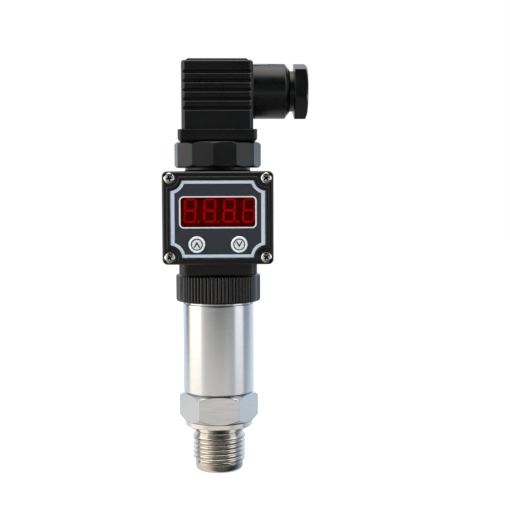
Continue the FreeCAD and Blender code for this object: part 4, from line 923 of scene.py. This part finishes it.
def makeDigits(size):
    windowLow, windowHigh = (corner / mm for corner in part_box("window_filter"))
    thickness = size["thickness"]
    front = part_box("led_display")[0].y / mm - thickness
    middleX = (windowLow.x + windowHigh.x) / 2 + size["offset"]
    middleZ = (windowLow.z + windowHigh.z) / 2 + size["rise"]
    across, up = size["wide"] - size["stroke"], (size["high"] - size["stroke"]) / 2
    level = makeBar(size, across)
    upright = makeBar(size, up)
    setPlace(upright, (0, 0, 0), (0, 90, 0))
    segments = {
        # place from the digit's middle, and the bar it is a copy of
        "top": (0, up, level),
        "middle": (0, 0, level),
        "bottom": (0, -up, level),
        "upperLeft": (-across / 2, up / 2, upright),
        "upperRight": (across / 2, up / 2, upright),
        "lowerLeft": (-across / 2, -up / 2, upright),
        "lowerRight": (across / 2, -up / 2, upright),
    }
    deselectAll()
    bpy.ops.mesh.primitive_cylinder_add(
        vertices=24, radius=size["dot"] / 2 * mm, depth=thickness * mm,
        location=(0, thickness / 2 * mm, 0), rotation=(math.pi / 2, 0, 0))
    dot = bpy.context.object
    roundEdges(dot, size["dotEdge"], 1, 30)
    bpy.ops.object.transform_apply(location=True, rotation=True, scale=True)
    lit, unlit = [], []
    for index in range(size["count"]):
        x = middleX + (index - (size["count"] - 1) / 2) * size["pitch"]
        for segmentName, (side, rise, bar) in segments.items():
            one = copyPiece(bar)
            setPlace(one, (x + side, front, middleZ + rise))
            (unlit if (index, segmentName) == size["unlit"] else lit).append(one)
        if index < size["count"] - 1:
            one = copyPiece(dot)
            dotX = x + size["wide"] / 2 + size["dotOut"]
            dotZ = middleZ - up - size["stroke"] * size["dotDrop"]
            setPlace(one, (dotX, front, dotZ))
            lit.append(one)
    for bar in (level, upright, dot):
        bpy.data.objects.remove(bar)
    # the lit digits glow as real lamps; the unlit bar's glow is painted light
    for pieces, name, material in ((lit, "litDigits", segmentLit), (unlit, "unlitBar", unlitBarPaintedGlow)):
        piece = joinPieces(pieces)
        for vertex in piece.data.vertices:
            vertex.co.x += math.tan(math.radians(size["slant"])) * (vertex.co.z - middleZ * mm)
        finishPiece(piece, name, "body", material)


print("making the digits")
makeDigits(digits)


studio = {
    # metres and degrees
    "lens": 76.6,
    "place": (0.0, -0.427, 0.1155),
    "pitchDown": 4.06,
    "yawRight": 1.95,
    "roll": -0.2,
    "lampAim": (0, 0, 0.09),
    "floorSize": 6,
    "floorGlow": 0.83,      # what makes the floor white to the eye, over a shade that still shows
    "floorShade": 0.35,
    "floorPaper": 0.8,      # the floor as it lights the part
    "fill": 0.56,           # the room's plain light
    "fillTone": "#f4f6fa",
    "walls": 1.25,          # how bright the room looks in a mirror
    "panels": 2.2,          # how bright the side panels look in a mirror
    "panelTones": (0.88, 0.98),     # tones that count as a panel: not yet, and fully
    "ceiling": 3.0,         # how bright the softbox overhead looks in a mirror
    "ceilingTone": "#fffcf4",
}

lamps = {
    # place, width and height in metres, and power in watts
    "leftSoftbox": ((-0.75, -0.35, 0.35), 0.5, 0.9, 5.0),
    "rightSoftbox": ((0.7, -0.3, 0.3), 0.35, 0.9, 3.2),
    "topSoftbox": ((0.0, 0.1, 0.9), 0.7, 0.7, 5.6),
}

roomHeights = {
    # the height of a direction, from -1 to 1, at which each ring of walls starts and has taken over
    "raised": (0.3, 0.5),
    "zenith": (0.84, 0.93),
    "foot": (-0.11, -0.195),
    "lower": (-0.236, -0.25),
}

roomWalls = {
    # what stands round the part, by the angle from the front
    "level": (
        (-180, "#e4eefa"), (-136, "#dfebf8"), (-124, "#6a7078"), (-115, "#77787a"), (-106, "#fffaf2"),
        (-60, "#fffdf8"), (-50, "#cfcdca"), (-38, "#a9a7a5"), (-20, "#7e7d7c"), (-4, "#4a4b4c"),
        (16, "#4a4b4c"), (34, "#7c7c7e"), (50, "#8c8c8e"), (57, "#f4f6fb"), (84, "#f4f6fb"),
        (93, "#8792a0"), (116, "#98a8ba"), (132, "#dce9f8"), (180, "#e4eefa")),
    "foot": (
        (-180, "#e4eefa"), (-136, "#dfebf8"), (-126, "#f0f1f3"), (-113, "#f2f3f5"), (-106, "#fbf6f0"),
        (-58, "#f9f5ef"), (-46, "#f4f1ee"), (-20, "#f6f5f4"), (30, "#f6f5f4"), (50, "#e6e7ea"),
        (57, "#f0f2f7"), (84, "#f0f2f7"), (93, "#b4bdc8"), (112, "#d2dfeb"), (128, "#dfecf8"),
        (138, "#dfecf8"), (180, "#e4eefa")),
    "raised": (
        (-180, "#dfe6ee"), (-128, "#cdd6e0"), (-116, "#6c7074"), (-106, "#fffaf2"), (-48, "#fffdf8"),
        (-30, "#2a2823"), (-16, "#14130f"), (36, "#14130f"), (44, "#38352f"), (50, "#fffef8"),
        (88, "#fdfdff"), (100, "#a8b2be"), (124, "#c6d4e4"), (180, "#dfe6ee")),
    "lower": (
        (-180, "#cfcdc9"), (-110, "#e4ddd2"), (-88, "#f2e8da"), (-50, "#cfc6ba"), (-28, "#837c72"),
        (-20, "#67625a"), (38, "#54504a"), (52, "#22282e"), (88, "#2c3a48"), (120, "#8c9bab"),
        (150, "#b9c2cb"), (180, "#cfcdc9")),
}


def makeStage():
    # a pale floor, white to the eye, that keeps a soft shadow
    deselectAll()
    bpy.ops.mesh.primitive_plane_add(size=studio["floorSize"], location=(0, 0, 0))
    floor = bpy.context.object
    floor.name = "floor"
    material = bpy.data.materials.new("palePaperFloor")
    tree = startTree(material)
    seenPaper = addNode(tree, "BsdfDiffuse", {"Color": grey(studio["floorShade"])})
    glow = addNode(tree, "Emission", {"Color": grey(1.0), "Strength": studio["floorGlow"]})
    seen = addNode(tree, "AddShader", {}, {0: seenPaper, 1: glow})
    paper = addNode(tree, "BsdfDiffuse", {"Color": grey(studio["floorPaper"])})
    path = addNode(tree, "LightPath")
    direct = addNode(
        tree, "Math", {"operation": "MAXIMUM"},
        {0: path.outputs["Is Camera Ray"], 1: path.outputs["Is Transmission Ray"]})
    mix = addNode(tree, "MixShader", {}, {0: direct, 1: paper, 2: seen})
    addNode(tree, "OutputMaterial", {}, {"Surface": mix})
    floor.data.materials.append(material)
    floor.visible_glossy = False    # metal mirrors the room down to its foot


def makeWorld():
    # white to the eye; what a shiny part mirrors is a soft room with a panel at each side, a grey
    # front, a pale back and a softbox overhead
    world = bpy.data.worlds.new("studioRoom")
    bpy.context.scene.world = world
    tree = startTree(world)
    direction = addNode(tree, "TexCoord").outputs["Generated"]
    parts = addNode(tree, "SeparateXYZ", {}, {"Vector": direction}).outputs
    front = addNode(tree, "Math", {"operation": "MULTIPLY", 1: -1.0}, {0: parts[1]})
    turn = addNode(tree, "Math", {"operation": "ARCTAN2"}, {0: parts[0], 1: front})
    share = addNode(tree, "MapRange", {"From Min": -math.pi, "From Max": math.pi}, {"Value": turn})
    rooms = {
        name: addNode(
            tree, "ValToRGB", {"stops": [(a / 360 + 0.5, toLinear(colour)) for a, colour in stops]},
            {"Fac": share})
        for name, stops in roomWalls.items()
    }
    heights = {
        name: addNode(tree, "MapRange", {"From Min": start, "From Max": end}, {"Value": parts[2]})
        for name, (start, end) in roomHeights.items()
    }
    room = rooms["level"]
    for name in ("raised", "foot", "lower"):
        room = addNode(
            tree, "Mix", {"data_type": "RGBA"},
            {"Factor": heights[name], 6: room, 7: rooms[name]}).outputs[2]
    dull, bright = studio["panelTones"]
    panels = addNode(
        tree, "MapRange",
        {"From Min": dull, "From Max": bright, "To Min": studio["walls"], "To Max": studio["panels"]},
        {"Value": room})
    mirrored = addNode(tree, "Background", {}, {"Color": room, "Strength": panels})
    softbox = addNode(
        tree, "Background", {"Color": toLinear(studio["ceilingTone"]), "Strength": studio["ceiling"]})
    glossy = addNode(tree, "MixShader", {}, {0: heights["zenith"], 1: mirrored, 2: softbox})
    fill = addNode(
        tree, "Background", {"Color": toLinear(studio["fillTone"]), "Strength": studio["fill"]})
    white = addNode(tree, "Background", {"Color": grey(1.0), "Strength": 1.0})
    path = addNode(tree, "LightPath")
    unseen = addNode(tree, "MixShader", {}, {0: path.outputs["Is Glossy Ray"], 1: fill, 2: glossy})
    direct = addNode(
        tree, "Math", {"operation": "MAXIMUM"},
        {0: path.outputs["Is Camera Ray"], 1: path.outputs["Is Transmission Ray"]})
    both = addNode(tree, "MixShader", {}, {0: direct, 1: unseen, 2: white})
    addNode(tree, "OutputWorld", {}, {"Surface": both})


def makeLamp(name, place, width, height, power):
    data = bpy.data.lights.new(name, "AREA")
    data.shape = "RECTANGLE"
    data.size = width
    data.size_y = height
    data.energy = power
    lamp = bpy.data.objects.new(name, data)
    bpy.context.collection.objects.link(lamp)
    lamp.location = place
    aim = Vector(studio["lampAim"]) - Vector(place)
    lamp.rotation_euler = aim.to_track_quat("-Z", "Y").to_euler()
    lamp.visible_glossy = False     # the room's panels stand for it in a mirror


def makeCamera():
    data = bpy.data.cameras.new("studioCamera")
    data.lens = studio["lens"]
    data.sensor_width = 36
    data.clip_start = 0.01
    camera = bpy.data.objects.new("studioCamera", data)
    bpy.context.collection.objects.link(camera)
    turn = (
        Matrix.Rotation(math.radians(-studio["yawRight"]), 4, "Z")
        @ Matrix.Rotation(math.radians(90 - studio["pitchDown"]), 4, "X")
        @ Matrix.Rotation(math.radians(studio["roll"]), 4, "Z")
    )
    camera.matrix_world = Matrix.Translation(studio["place"]) @ turn
    bpy.context.scene.camera = camera


print("lighting the studio")
makeStage()
makeWorld()
for lampName, values in lamps.items():
    makeLamp(lampName, *values)
makeCamera()
bpy.context.scene.view_settings.view_transform = "Standard"

print("finished")
